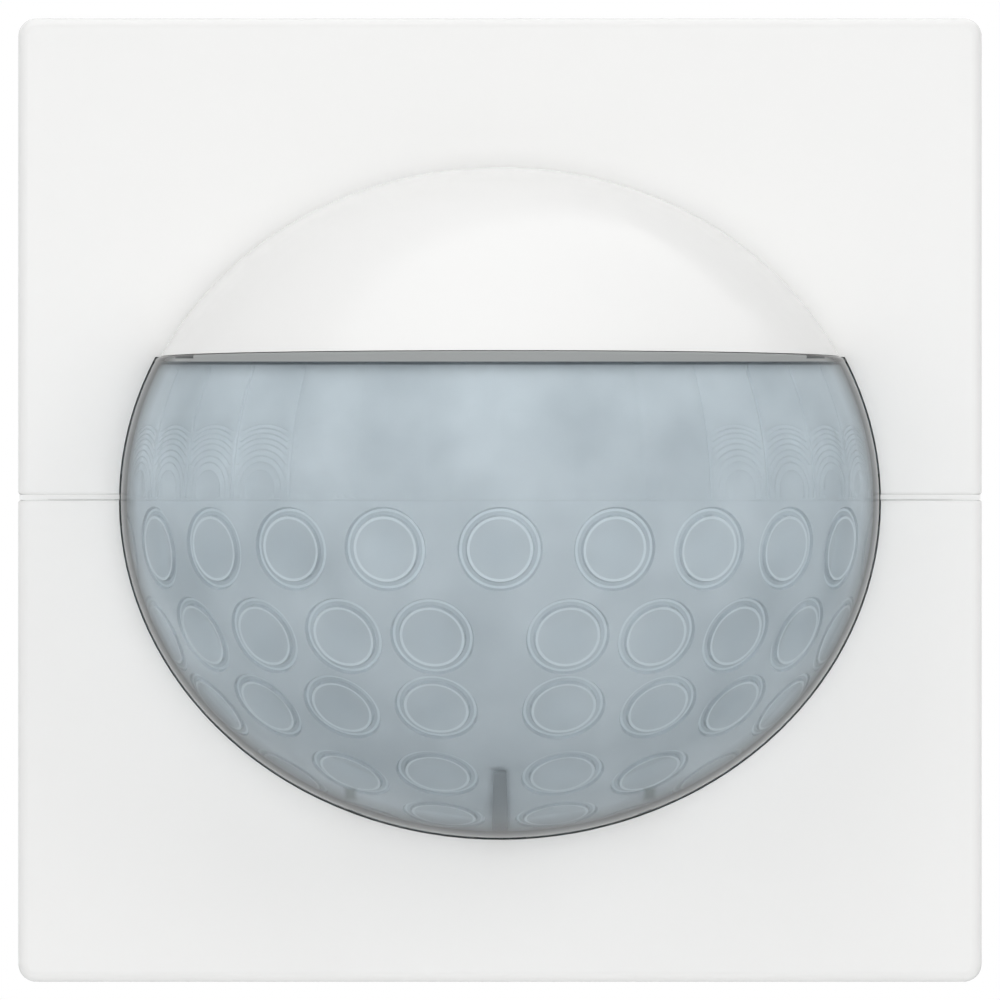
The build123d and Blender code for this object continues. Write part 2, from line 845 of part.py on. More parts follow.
with BuildPart() as voltage_regulator:
    with BuildSketch(level(board_rear - regulator_thickness)):
        with Locations(regulator_place):
            Rectangle(regulator_width, regulator_height)
    extrude(amount=regulator_thickness)
voltage_regulator.part.label = "voltage_regulator"
export_step(voltage_regulator.part, "parts/voltage_regulator.step")

with BuildPart() as coil:
    with BuildSketch(level(board_rear - coil_height)):
        with Locations(coil_place):
            Circle(coil_radius)
    extrude(amount=coil_flange_height)
    with BuildSketch(level(board_rear - coil_height)):
        with Locations(coil_place):
            Circle(coil_neck_radius)
    extrude(amount=coil_height)
    with BuildSketch(level(board_rear - coil_flange_height)):
        with Locations(coil_place):
            Circle(coil_radius)
    extrude(amount=coil_flange_height)
coil.part.label = "coil"
export_step(coil.part, "parts/coil.step")

with BuildPart() as capacitors:
    with BuildSketch(level(board_rear - capacitor_height)):
        with Locations(*both_sides(capacitor_place, capacitor_row)):
            Circle(capacitor_radius)
    extrude(amount=capacitor_height)
capacitors.part.label = "capacitors"
export_step(capacitors.part, "parts/capacitors.step")

with BuildPart() as chip_components:
    with BuildSketch(level(board_rear - small_thickness)):
        with Locations(*small_places):
            with GridLocations(*small_spacing, small_columns, small_rows):
                Rectangle(small_width, small_height)
    extrude(amount=small_thickness)
chip_components.part.label = "chip_components"
export_step(chip_components.part, "parts/chip_components.step")
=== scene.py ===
"""Looks of a presence detector's sensor attachment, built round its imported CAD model.

Lengths in the dataclasses are millimetres. A depth is a distance from the plane where the
attachment sits on the wall insert's ring, towards the room, so y = -depth.
"""

import json
import logging
from dataclasses import dataclass, replace
from enum import Enum, IntEnum
from math import asin, atan2, cos, degrees, pi, radians, sin, sqrt
from typing import Any, Callable, Iterable, Sequence

import bmesh
import bpy
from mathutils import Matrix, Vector
from mathutils.geometry import delaunay_2d_cdt
from mathutils.kdtree import KDTree


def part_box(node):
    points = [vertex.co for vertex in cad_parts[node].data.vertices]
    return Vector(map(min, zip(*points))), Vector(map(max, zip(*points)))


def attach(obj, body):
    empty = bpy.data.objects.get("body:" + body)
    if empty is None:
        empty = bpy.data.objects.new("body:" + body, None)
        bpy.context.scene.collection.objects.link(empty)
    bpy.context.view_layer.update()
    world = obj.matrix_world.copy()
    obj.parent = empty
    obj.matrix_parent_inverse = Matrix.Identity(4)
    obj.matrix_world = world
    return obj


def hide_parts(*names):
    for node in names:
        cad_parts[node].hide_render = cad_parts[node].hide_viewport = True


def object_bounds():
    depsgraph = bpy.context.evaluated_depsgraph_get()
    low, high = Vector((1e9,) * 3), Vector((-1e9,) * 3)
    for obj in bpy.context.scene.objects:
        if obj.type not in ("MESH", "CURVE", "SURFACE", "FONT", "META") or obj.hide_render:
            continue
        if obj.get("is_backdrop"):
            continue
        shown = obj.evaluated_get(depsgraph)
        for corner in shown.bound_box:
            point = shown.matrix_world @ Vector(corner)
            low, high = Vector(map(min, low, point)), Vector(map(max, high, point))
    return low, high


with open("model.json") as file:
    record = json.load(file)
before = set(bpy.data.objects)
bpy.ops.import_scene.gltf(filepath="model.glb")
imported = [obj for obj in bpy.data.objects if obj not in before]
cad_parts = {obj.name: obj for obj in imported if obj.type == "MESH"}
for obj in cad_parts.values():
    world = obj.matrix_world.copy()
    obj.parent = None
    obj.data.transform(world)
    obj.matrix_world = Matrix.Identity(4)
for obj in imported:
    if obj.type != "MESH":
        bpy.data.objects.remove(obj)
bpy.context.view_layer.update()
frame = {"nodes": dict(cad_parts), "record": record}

MM = 0.001
log = logging.getLogger("presence_detector")

Point = tuple[float, float, float]
Spot = tuple[float, float]
Source = bpy.types.Node | bpy.types.NodeSocket


def linear(colour: str, alpha: float = 1.0) -> tuple[float, float, float, float]:
    """Turns an sRGB hex colour into linear light.

    Args:
        colour: Six hex digits, with or without a leading #.
        alpha: The fourth number.

    Returns:
        Red, green, blue and alpha.
    """
    digits = colour.lstrip("#")
    parts = [int(digits[i:i + 2], 16) / 255 for i in (0, 2, 4)]
    light = [p / 12.92 if p <= 0.04045 else ((p + 0.055) / 1.055) ** 2.4 for p in parts]
    return (light[0], light[1], light[2], alpha)


def add_node(
    tree: bpy.types.NodeTree,
    kind: str,
    settings: dict[Any, Any] | None = None,
    links: dict[Any, Source] | None = None,
) -> bpy.types.Node:
    """Adds a node with its settings and links.

    Args:
        tree: The node tree of a material, the world or a modifier.
        kind: The node's type.
        settings: Values of the node's own properties, or of inputs by name or index.
        links: What to join to inputs, by name or index. A node stands for its first output.

    Returns:
        The new node.
    """
    node = tree.nodes.new(kind)
    for key, value in (settings or {}).items():
        if isinstance(key, str) and hasattr(node, key):
            setattr(node, key, value)
        else:
            node.inputs[key].default_value = value
    for key, source in (links or {}).items():
        socket = source.outputs[0] if isinstance(source, bpy.types.Node) else source
        tree.links.new(socket, node.inputs[key])
    return node


def place(x: float, depth: float, z: float) -> Vector:
    """A point of the shared frame in metres, from millimetres and a depth."""
    return Vector((x, -depth, z)) * MM


def add_object(name: str, data: bpy.types.ID) -> bpy.types.Object:
    """Makes an object of a mesh, a lamp or a camera, and puts it in the scene."""
    made = bpy.data.objects.new(name, data)
    bpy.context.scene.collection.objects.link(made)
    return made


def weld(work: bmesh.types.BMesh, reach: float, smooth_angle: float) -> int:
    """Merges points that touch, turns the faces outwards and shades them.

    Args:
        work: The mesh.
        reach: Points nearer than this, in metres, become one.
        smooth_angle: Edges sharper than this, in degrees, stay crisp.

    Returns:
        The number of edges that don't join two faces.
    """
    bmesh.ops.remove_doubles(work, verts=work.verts, dist=reach)
    bmesh.ops.recalc_face_normals(work, faces=work.faces)
    if work.calc_volume(signed=True) < 0:
        bmesh.ops.reverse_faces(work, faces=work.faces)
    for face in work.faces:
        face.smooth = True
    for edge in work.edges:
        edge.smooth = edge.calc_face_angle(0) <= radians(smooth_angle)
    return sum(len(edge.link_faces) != 2 for edge in work.edges)


class Grain(Enum):
    """How the fine relief of a surface was made."""

    MOULDED = "spark-eroded mould"
    DRAWN = "drawn or rolled metal"
    WOUND = "turns of fine wire"
    TRACKS = "copper under lacquer"


@dataclass(frozen=True)
class Mark:
    """A box in which a clear wall is given a deeper colour: where a rib joins it, or as painted shade where
    a corner or underside lies in shadow.

    Attributes:
        low: Least x, depth and height.
        high: Greatest x, depth and height.
        colour: The colour there in sRGB hex.
        mirrored: Whether the same box stands on the other side of the middle too.
        soft: The width of the fading edge.
        lean: How much lower the box lies for each millimetre of depth.
        clouded: The share of its clearness that the wall loses there.
    """

    low: Point
    high: Point
    colour: str
    mirrored: bool = False
    soft: float = 0.06
    lean: float = 0.0
    clouded: float = 0.0

    def share(self, tree: bpy.types.NodeTree, where: Source) -> Source:
        """Adds the nodes that tell how far a point is inside.

        Args:
            tree: The material's node tree.
            where: The point, in metres.

        Returns:
            1 inside and 0 outside.
        """
        middle = [(a + b) / 2 * MM for a, b in zip(self.low, self.high)]
        half = [(b - a) / 2 * MM for a, b in zip(self.low, self.high)]
        across, along, up = add_node(tree, "ShaderNodeSeparateXYZ", {}, {0: where}).outputs
        if self.mirrored:
            across = add_node(tree, "ShaderNodeMath", {"operation": "ABSOLUTE"}, {0: across})
        up = add_node(
            tree, "ShaderNodeMath", {"operation": "MULTIPLY_ADD", 1: -self.lean}, {0: along, 2: up}
        )
        past = add_node(tree, "ShaderNodeCombineXYZ", {}, {0: across, 1: along, 2: up})
        for change in (
            {"operation": "SUBTRACT", 1: (middle[0], -middle[1], middle[2])},
            {"operation": "ABSOLUTE"},
            {"operation": "SUBTRACT", 1: half},
        ):
            past = add_node(tree, "ShaderNodeVectorMath", change, {0: past})
        most, *others = add_node(tree, "ShaderNodeSeparateXYZ", {}, {0: past}).outputs
        for axis in others:
            most = add_node(tree, "ShaderNodeMath", {"operation": "MAXIMUM"}, {0: most, 1: axis})
        return add_node(tree, "ShaderNodeMapRange", {1: 0.0, 2: self.soft * MM, 3: 1.0, 4: 0.0}, {0: most})


@dataclass(frozen=True)
class Finish:
    """A surface finish: what a material is, and how its surface was made.

    Attributes:
        name: The material's name.
        colour: The colour in sRGB hex.
        second: The colour that it varies to.
        mottle: The share of the second colour where the variation is strongest.
        roughness: The mean roughness.
        grain: How the fine relief was made.
        grain_size: The size of one grain.
        relief: The height of the relief.
        metallic: 1 for bare metal.
        ior: The index of refraction, left alone on metal.
        transmission: The share of light that passes into the body.
        coat: The weight of a clear lacquer on top.
        absorption: Colour and strength per metre of the light lost inside the body.
        edge_colour: The deeper colour of a clear tinted wall that is seen along its face.
        marks: Boxes in which the colour is deeper, from a rib behind or as painted shade.
    """

    name: str
    colour: str
    second: str
    mottle: float = 0.5
    roughness: float = 0.45
    grain: Grain = Grain.MOULDED
    grain_size: float = 0.25
    relief: float = 0.004
    metallic: float = 0.0
    ior: float = 1.5
    transmission: float = 0.0
    coat: float = 0.0
    absorption: tuple[str, float] | None = None
    edge_colour: str | None = None
    marks: tuple[Mark, ...] = ()

    # A drawn line is this many grains long, and the slow variation this many millimetres wide.
    LINE_LENGTH = 40
    DRIFT_WIDTH = 6.0
    # The distances from the second nearest cell's middle at which a copper track starts and is full
    TRACK_EDGE = (0.42, 0.47)
    # The roughness goes up and down by this share, between these heights of the variation.
    GLOSS_SPREAD = 0.1
    GLOSS_RANGE = (0.3, 0.7)
    # The slant at which the edge colour starts and is full, from 0 in front to 1 along the face
    EDGE_RANGE = (0.7, 0.83)
    COAT_ROUGHNESS = 0.08

    def pattern(self, tree: bpy.types.NodeTree) -> Source:
        """Adds the nodes of the fine relief.

        Args:
            tree: The material's node tree.

        Returns:
            A height from 0 to 1.
        """
        where = add_node(tree, "ShaderNodeTexCoord").outputs["Object"]
        scale = 1 / (self.grain_size * MM)
        if self.grain is Grain.DRAWN:
            # The lines run along X.
            stretch = add_node(
                tree, "ShaderNodeMapping", {"Scale": (1 / self.LINE_LENGTH, 1, 1)}, {"Vector": where}
            ).outputs["Vector"]
            noise = add_node(
                tree, "ShaderNodeTexNoise", {"Scale": scale, "Detail": 3.0}, {"Vector": stretch}
            )
            return noise.outputs["Fac"]
        if self.grain is Grain.WOUND:
            # A band repeats each 2 pi / 20 of the texture's scaled length.
            wave = add_node(
                tree, "ShaderNodeTexWave",
                {"bands_direction": "Y", "Scale": scale * pi / 10, "Distortion": 0.4},
                {"Vector": where},
            )
            return wave.outputs["Fac"]
        if self.grain is Grain.TRACKS:
            cells = add_node(
                tree, "ShaderNodeTexVoronoi",
                {"distance": "CHEBYCHEV", "feature": "F2", "Scale": scale, "Randomness": 0.7},
                {"Vector": where},
            )
            near, far = self.TRACK_EDGE
            return add_node(tree, "ShaderNodeMapRange", {1: near, 2: far}, {0: cells.outputs["Distance"]})
        noise = add_node(tree, "ShaderNodeTexNoise", {"Scale": scale, "Detail": 2.0}, {"Vector": where})
        return noise.outputs["Fac"]

    def material(self) -> bpy.types.Material:
        """Builds the material, or returns the one already built under this name."""
        known = bpy.data.materials.get(self.name)
        if known is not None:
            return known
        made = bpy.data.materials.new(self.name)
        made.use_nodes = True
        tree = made.node_tree
        tree.nodes.clear()
        height = self.pattern(tree)
        where = add_node(tree, "ShaderNodeTexCoord").outputs["Object"]
        # Slow variation comes from flow in the mould or from handling.
        drift = add_node(
            tree, "ShaderNodeTexNoise", {"Scale": 1 / (self.DRIFT_WIDTH * MM), "Detail": 3.0},
            {"Vector": where},
        ).outputs["Fac"]
        source = height if self.grain in (Grain.WOUND, Grain.TRACKS) else drift
        share = add_node(tree, "ShaderNodeMath", {"operation": "MULTIPLY", 1: self.mottle}, {0: source})
        colour = add_node(
            tree, "ShaderNodeMix",
            {"data_type": "RGBA", 6: linear(self.colour), 7: linear(self.second)},
            {0: share},
        ).outputs[2]
        clear = None
        # Each mark deepens the colour in its box, for a rib behind the wall or as painted shade.
        for mark in self.marks:
            inside = mark.share(tree, where)
            colour = add_node(
                tree, "ShaderNodeMix", {"data_type": "RGBA", 7: linear(mark.colour)},
                {0: inside, 6: colour},
            ).outputs[2]
            if mark.clouded:
                clear = add_node(
                    tree, "ShaderNodeMapRange",
                    {3: self.transmission, 4: self.transmission * (1 - mark.clouded)}, {0: inside},
                )
        if self.edge_colour is not None:
            # Seen along its face, a tinted wall has far more of its own depth in view.
            facing = add_node(tree, "ShaderNodeLayerWeight", {"Blend": 0.5}).outputs["Facing"]
            start, full = self.EDGE_RANGE
            along = add_node(tree, "ShaderNodeMapRange", {1: start, 2: full}, {0: facing})
            colour = add_node(
                tree, "ShaderNodeMix", {"data_type": "RGBA", 7: linear(self.edge_colour)},
                {0: along, 6: colour},
            ).outputs[2]
        low, high = self.GLOSS_RANGE
        smooth = self.roughness * (1 - self.GLOSS_SPREAD)
        rough = min(1.0, self.roughness * (1 + self.GLOSS_SPREAD))
        gloss = add_node(tree, "ShaderNodeMapRange", {1: low, 2: high, 3: smooth, 4: rough}, {0: drift})
        bump = add_node(
            tree, "ShaderNodeBump", {"Strength": 1.0, "Distance": self.relief * MM},
            {"Height": height},
        ).outputs["Normal"]
        settings: dict[Any, Any] = {
            "Metallic": self.metallic,
            "Transmission Weight": self.transmission,
            "Coat Weight": self.coat,
            "Coat Roughness": self.COAT_ROUGHNESS,
        }
        if not self.metallic:
            settings["IOR"] = self.ior
        inputs = {"Base Color": colour, "Roughness": gloss, "Normal": bump}
        if clear is not None:
            inputs["Transmission Weight"] = clear
        shader = add_node(tree, "ShaderNodeBsdfPrincipled", settings, inputs)
        ends = {"Surface": shader}
        if self.absorption is not None:
            tint, strength = self.absorption
            volume = add_node(
                tree, "ShaderNodeVolumeAbsorption", {"Color": linear(tint), "Density": strength}
            )
            ends["Volume"] = volume
        add_node(tree, "ShaderNodeOutputMaterial", {}, ends)
        return made


# Glossy white thermoplastic from a polished mould: even, with a soft sheen.
COVER_WHITE = Finish(
    "moulded_white_thermoplastic", "F1F1F0", "EDEDEC", mottle=0.3, roughness=0.2,
    grain_size=0.6, relief=0.0006,
)
# Polycarbonate, spark-eroded: the same white, dull.
CARRIER_WHITE = Finish("matt_white_polycarbonate", "E9EAE8", "E2E3E1", roughness=0.55,
                       grain_size=0.15, relief=0.006)
HOLDER_WHITE = Finish("matt_white_abs", "EDEEEC", "E6E7E5", roughness=0.6, grain_size=0.15,
                      relief=0.005)
# Glass-filled polyamide: dark, slightly cloudy, with a coarse grain.
HOUSING_GREY = Finish("glass_filled_polyamide", "4C4F52", "5A5D60", roughness=0.6,
                      grain_size=0.2, relief=0.012)
# Smoke-tinted polyethylene. Outside it is from a polished mould, inside the grooved tool
# leaves it frosted.
LENS_TINT = ("7FB0C2", 110.0)
LENS_OUTSIDE = Finish(
    "smoked_polyethylene_polished", "F4F7F8", "EEF2F4", mottle=0.3, roughness=0.1,
    grain_size=1.2, relief=0.0012, ior=1.15, transmission=0.95, absorption=LENS_TINT,
    edge_colour="0E1213",
    marks=(
        # Painted shade: the ceiling seen from below as a grey band in shadow, the dark line of its shaded
        # rear corner, and dark shaded notches at the ends of its legs
        Mark((-30, 0, 9.24), (30, 40, 12), "9C9F9F", lean=0.0187, clouded=1.0),
        Mark((-30, 0, 9.05), (30, 40, 9.2), "8A9094", lean=0.0187),
        Mark((19.6, 0, 9.45), (20.8, 40, 9.65), "4A4E4F", mirrored=True, lean=0.0187),
        # The fronts of the two side ribs
        Mark((9.4, 0, -19.1), (9.8, 40, -18.6), "A4A9A6", mirrored=True, soft=0.32),
    ),
)
# The flat top, hidden by the hood: the same polish, without the marks: neither the painted shade of the
# ceiling and its corners nor the deeper colour of the ribs.
LENS_TOP = replace(LENS_OUTSIDE, name="smoked_polyethylene_top", marks=())
# The frosted side's roughness stays above 0.28 all over. It is cloudy in soft patches.
LENS_INSIDE = Finish(
    "smoked_polyethylene_frosted", "DDE4E9", "A9B2B8", mottle=1.0, roughness=0.36,
    grain_size=0.12, relief=0.003, ior=1.15, transmission=0.15, absorption=LENS_TINT,
)
# The rim of each lenslet is a little lighter: a painted highlight for the bright line along its edge.
LENS_RIM_HIGHLIGHT = replace(LENS_INSIDE, name="smoked_polyethylene_rim_painted_highlight", colour="E0E7EB", second="D6DEE3")
# Where it is a solid rib, the same plastic looks deep grey.
LENS_THICK = Finish(
    "smoked_polyethylene_thick", "7D868C", "747D83", mottle=0.4, roughness=0.36,
    grain_size=0.5, relief=0.002,
)
SCREW_STEEL = Finish("zinc_plated_steel", "C4C6C8", "AEB0B3", roughness=0.32,
                     grain=Grain.DRAWN, grain_size=0.06, relief=0.004, metallic=1.0)
SPRING_STEEL = Finish("rolled_spring_steel", "C9C9C6", "B4B4B0", roughness=0.28,
                      grain=Grain.DRAWN, grain_size=0.05, relief=0.003, metallic=1.0)
PIN_GOLD = Finish("gold_plated_bronze", "DDBB6A", "C9A450", roughness=0.22,
                  grain=Grain.DRAWN, grain_size=0.05, relief=0.002, metallic=1.0)
# Solder resist over copper tracks, which show lighter.
BOARD_GREEN = Finish("glass_epoxy_green_resist", "0E4A2A", "1C6A3D", mottle=1.0,
                     roughness=0.3, grain=Grain.TRACKS, grain_size=0.9, relief=0.03)
CAN_NICKEL = Finish("nickel_plated_can", "CFCFCC", "BDBDB9", roughness=0.24,
                    grain=Grain.DRAWN, grain_size=0.08, relief=0.002, metallic=1.0)
WINDOW_DARK = Finish("coated_silicon_window", "2B2730", "3A3342", roughness=0.12,
                     grain_size=0.5, relief=0.0005, ior=2.2)
GUIDE_CLEAR = Finish("clear_acrylic", "F6FAFB", "F0F6F8", roughness=0.06, grain_size=1.0,
                     relief=0.0005, ior=1.49, transmission=1.0)
CHIP_BLACK = Finish("moulded_epoxy_black", "26272A", "303236", roughness=0.5,
                    grain_size=0.08, relief=0.006)
SWITCH_BLACK = Finish("moulded_polyamide_black", "2A2B2E", "37393C", roughness=0.5,
                      grain_size=0.12, relief=0.005)
TRIMMER_BLUE = Finish("moulded_polyester_blue", "1F4076", "2B5190", roughness=0.45,
                      grain_size=0.12, relief=0.004)
DIAL_GREY = Finish("matt_grey_abs", "787B7D", "6C6F71", roughness=0.5, grain_size=0.12,
                   relief=0.006)
SLIDER_WHITE = Finish("white_acetal", "EDECE8", "E2E1DC", roughness=0.4, grain_size=0.2,
                      relief=0.003)
LIGHT_RED = Finish("red_epoxy_diode", "D4453C", "C03028", roughness=0.14, grain_size=0.8,
                   relief=0.001, ior=1.52, transmission=0.55)
COIL_COPPER = Finish("enamelled_copper_wire", "B0562C", "7A3719", mottle=0.9, roughness=0.3,
                     grain=Grain.WOUND, grain_size=0.2, relief=0.05, metallic=1.0)
CAPACITOR_BLACK = Finish("sleeved_aluminium_can", "23252B", "2E3138", roughness=0.35,
                         grain_size=0.3, relief=0.003)
CHIP_CERAMIC = Finish("fired_ceramic", "A98F6E", "8F7858", roughness=0.45, grain_size=0.1,
                      relief=0.004)

SLOT_FINISHES = {
    "cover_white": COVER_WHITE, "carrier_white": CARRIER_WHITE, "holder_white": HOLDER_WHITE,
    "housing_grey": HOUSING_GREY, "lens_smoke": LENS_OUTSIDE, "screw_steel": SCREW_STEEL,
    "spring_steel": SPRING_STEEL, "pin_gold": PIN_GOLD, "board_green": BOARD_GREEN,
    "can_nickel": CAN_NICKEL, "window_dark": WINDOW_DARK, "guide_clear": GUIDE_CLEAR,
    "chip_black": CHIP_BLACK, "switch_black": SWITCH_BLACK, "trimmer_blue": TRIMMER_BLUE,
    "dial_grey": DIAL_GREY, "slider_white": SLIDER_WHITE, "button_grey": DIAL_GREY,
    "light_red": LIGHT_RED, "coil_copper": COIL_COPPER, "capacitor_black": CAPACITOR_BLACK,
    "chip_ceramic": CHIP_CERAMIC,
}


class MeshDraft:
    """Collects points and faces of one piece, patch by patch, and welds them at the end."""

    WELD_REACH = 1e-3 * MM

    def __init__(self) -> None:
        """Starts with nothing in it."""
        self.points: list[Vector] = []
        self.faces: list[tuple[int, ...]] = []
        self.slots: list[int] = []

    def add(self, points: Iterable[Vector], faces: Iterable[Sequence[int]], slot: int = 0) -> None:
        """Adds a patch.

        Args:
            points: The patch's points, in metres.
            faces: Each face's points, counted within the patch.
            slot: The material slot of the faces.
        """
        start = len(self.points)
        self.points.extend(points)
        for face in faces:
            self.faces.append(tuple(start + i for i in face))
            self.slots.append(slot)

    def grid(self, rows: Sequence[Sequence[Vector]], slot: int = 0) -> None:
        """Adds quads between rows of equal length."""
        width = len(rows[0])
        faces = [
            (r * width + c, r * width + c + 1, (r + 1) * width + c + 1, (r + 1) * width + c)
            for r in range(len(rows) - 1)
            for c in range(width - 1)
        ]
        self.add([p for row in rows for p in row], faces, slot)

    def build(self, name: str, finishes: Sequence[Finish], smooth_angle: float) -> bpy.types.Object:
        """Welds the patches into an object with outward faces.

        Args:
            name: The object's name.
            finishes: A finish for each material slot.
            smooth_angle: Edges sharper than this, in degrees, stay crisp.

        Returns:
            The object, at the origin.
        """
        work = bmesh.new()
        made = [work.verts.new(p) for p in self.points]
        for face, slot in zip(self.faces, self.slots):
            corners = [made[i] for i in face]
            if len({tuple(c.co) for c in corners}) < len(corners):
                corners = list({tuple(c.co): c for c in corners}.values())
            if len(corners) > 2:
                fresh = work.faces.new(corners)
                fresh.material_index = slot
        open_edges = weld(work, self.WELD_REACH, smooth_angle)
        log.info("%s: %d faces, %d open edges", name, len(work.faces), open_edges)
        mesh = bpy.data.meshes.new(name)
        work.to_mesh(mesh)
        work.free()
        for finish in finishes:
            mesh.materials.append(finish.material())
        return add_object(name, mesh)


class LensSheet:
    """The inner face of the dome as a flat sheet, with its ridges drawn in.

    A place on the sheet is an azimuth, an elevation and a height above the plain face.
    """

    # Stands for the ring of a point that is on none.
    NO_RING = -9
    # Points of the sheet nearer than this, in millimetres, become one.
    TOUCHING = 1e-5

    def __init__(self, half_width: float, half_height: float) -> None:
        """Starts an empty sheet for a spheroid with these half sizes."""
        self.half_width = half_width
        self.half_height = half_height
        self.scale = (half_width + half_height) / 2
        self.places: list[Point] = []
        self.edges: list[tuple[int, int]] = []
        self.rims: dict[int, int] = {}

    def around(self, centre: Spot, radius: float, angle: float) -> Spot:
        """A place at a distance and direction from another, measured in the tangent plane.

        Args:
            centre: Azimuth and elevation to start from.
            radius: The distance.
            angle: The direction, 0 to the right and a quarter turn up.

        Returns:
            Azimuth and elevation.
        """
        turn, lift = centre
        a, c = self.half_width, self.half_height
        middle = Vector((a * cos(lift) * sin(turn), a * cos(lift) * cos(turn), c * sin(lift)))
        east = Vector((cos(turn), -sin(turn), 0))
        north = Vector((-a * sin(lift) * sin(turn), -a * sin(lift) * cos(turn), c * cos(lift))).normalized()
        there = middle + radius * (cos(angle) * east + sin(angle) * north)
        ball = Vector((there.x / a, there.y / a, there.z / c)).normalized()
        return atan2(ball.x, ball.y), asin(ball.z)

    def circle(self, centre: Spot, radius: float, count: int) -> list[Spot]:
        """Even places on a circle round a centre."""
        return [self.around(centre, radius, 2 * pi * i / count) for i in range(count)]

    def line(self, places: Sequence[Spot], height: float, closed: bool = False) -> None:
        """Draws a line of points at one height, whose edges the mesh keeps."""
        start = len(self.places)
        self.places.extend((turn, lift, height) for turn, lift in places)
        count = len(places)
        self.edges.extend((start + i, start + i + 1) for i in range(count - 1))
        if closed:
            self.edges.append((start + count - 1, start))

    def rim(self, outer: Sequence[Spot], inner: Sequence[Spot], heights: tuple[float, float]) -> None:
        """Draws a narrow ring whose faces get the rim finish, lighter as a painted highlight.

        Args:
            outer: The places of its outer edge.
            inner: The places of its inner edge.
            heights: The heights of the two edges.
        """
        ring = max(self.rims.values(), default=-1) + 1
        for side, (places, height) in enumerate(zip((outer, inner), heights)):
            start = len(self.places)
            self.line(places, height, closed=True)
            self.rims.update((start + i, ring + side) for i in range(len(places)))

    def flat(self, turn: float, lift: float) -> Vector:
        """Where a place lies on the flat sheet."""
        return Vector((turn * self.half_width * cos(lift), lift * self.scale))

    def fill(self, spacing: float, clearance: float, surface: Callable[[float, float], Vector]) -> None:
        """Scatters even points over the sheet wherever nothing is drawn.

        Args:
            spacing: The distance between the points.
            clearance: How far they stay from drawn points.
            surface: Gives the solid point of an azimuth and an elevation.
        """
        drawn = KDTree(len(self.places))
        for index, (turn, lift, _) in enumerate(self.places):
            drawn.insert(surface(turn, lift), index)
        drawn.balance()
        lifts = [lift for _, lift, _ in self.places]
        low, high = min(lifts), max(lifts)
        rows = int(self.scale * (high - low) / spacing)
        for row in range(1, rows):
            lift = low + (high - low) * row / rows
            steps = int(pi * self.half_width * cos(lift) / spacing)
            for column in range(1, steps):
                turn = -pi / 2 + pi * (column + 0.5 * (row % 2)) / (steps + 0.5)
                if drawn.find(surface(turn, lift))[2] > clearance:
                    self.places.append((turn, lift, 0.0))

    def mesh(self) -> tuple[list[Point], list[tuple[int, ...]], list[tuple[int, ...]]]:
        """Fills the drawn lines with triangles.

        Returns:
            The places of all points, the plain triangles and those of the rims.
        """
        flat = [self.flat(turn, lift) for turn, lift, _ in self.places]
        points, _, faces, sources, _, _ = delaunay_2d_cdt(flat, self.edges, [], 1, self.TOUCHING)
        places: list[Point] = []
        for point, origin in zip(points, sources):
            if origin:
                places.append(self.places[origin[0]])
            else:
                lift = point.y / self.scale
                places.append((point.x / (self.half_width * cos(lift)), lift, 0.0))
        none = self.NO_RING
        sides = [self.rims.get(origin[0], none) if origin else none for origin in sources]
        plain: list[tuple[int, ...]] = []
        rims: list[tuple[int, ...]] = []
        for face in faces:
            low, high = min(sides[i] for i in face), max(sides[i] for i in face)
            (rims if low >= 0 and low % 2 == 0 and high == low + 1 else plain).append(tuple(face))
        return places, plain, rims


class LensSlot(IntEnum):
    """The lens's material slots, in order."""

    OUTSIDE = 0
    INSIDE = 1
    THICK = 2
    TOP = 3
    RIM = 4


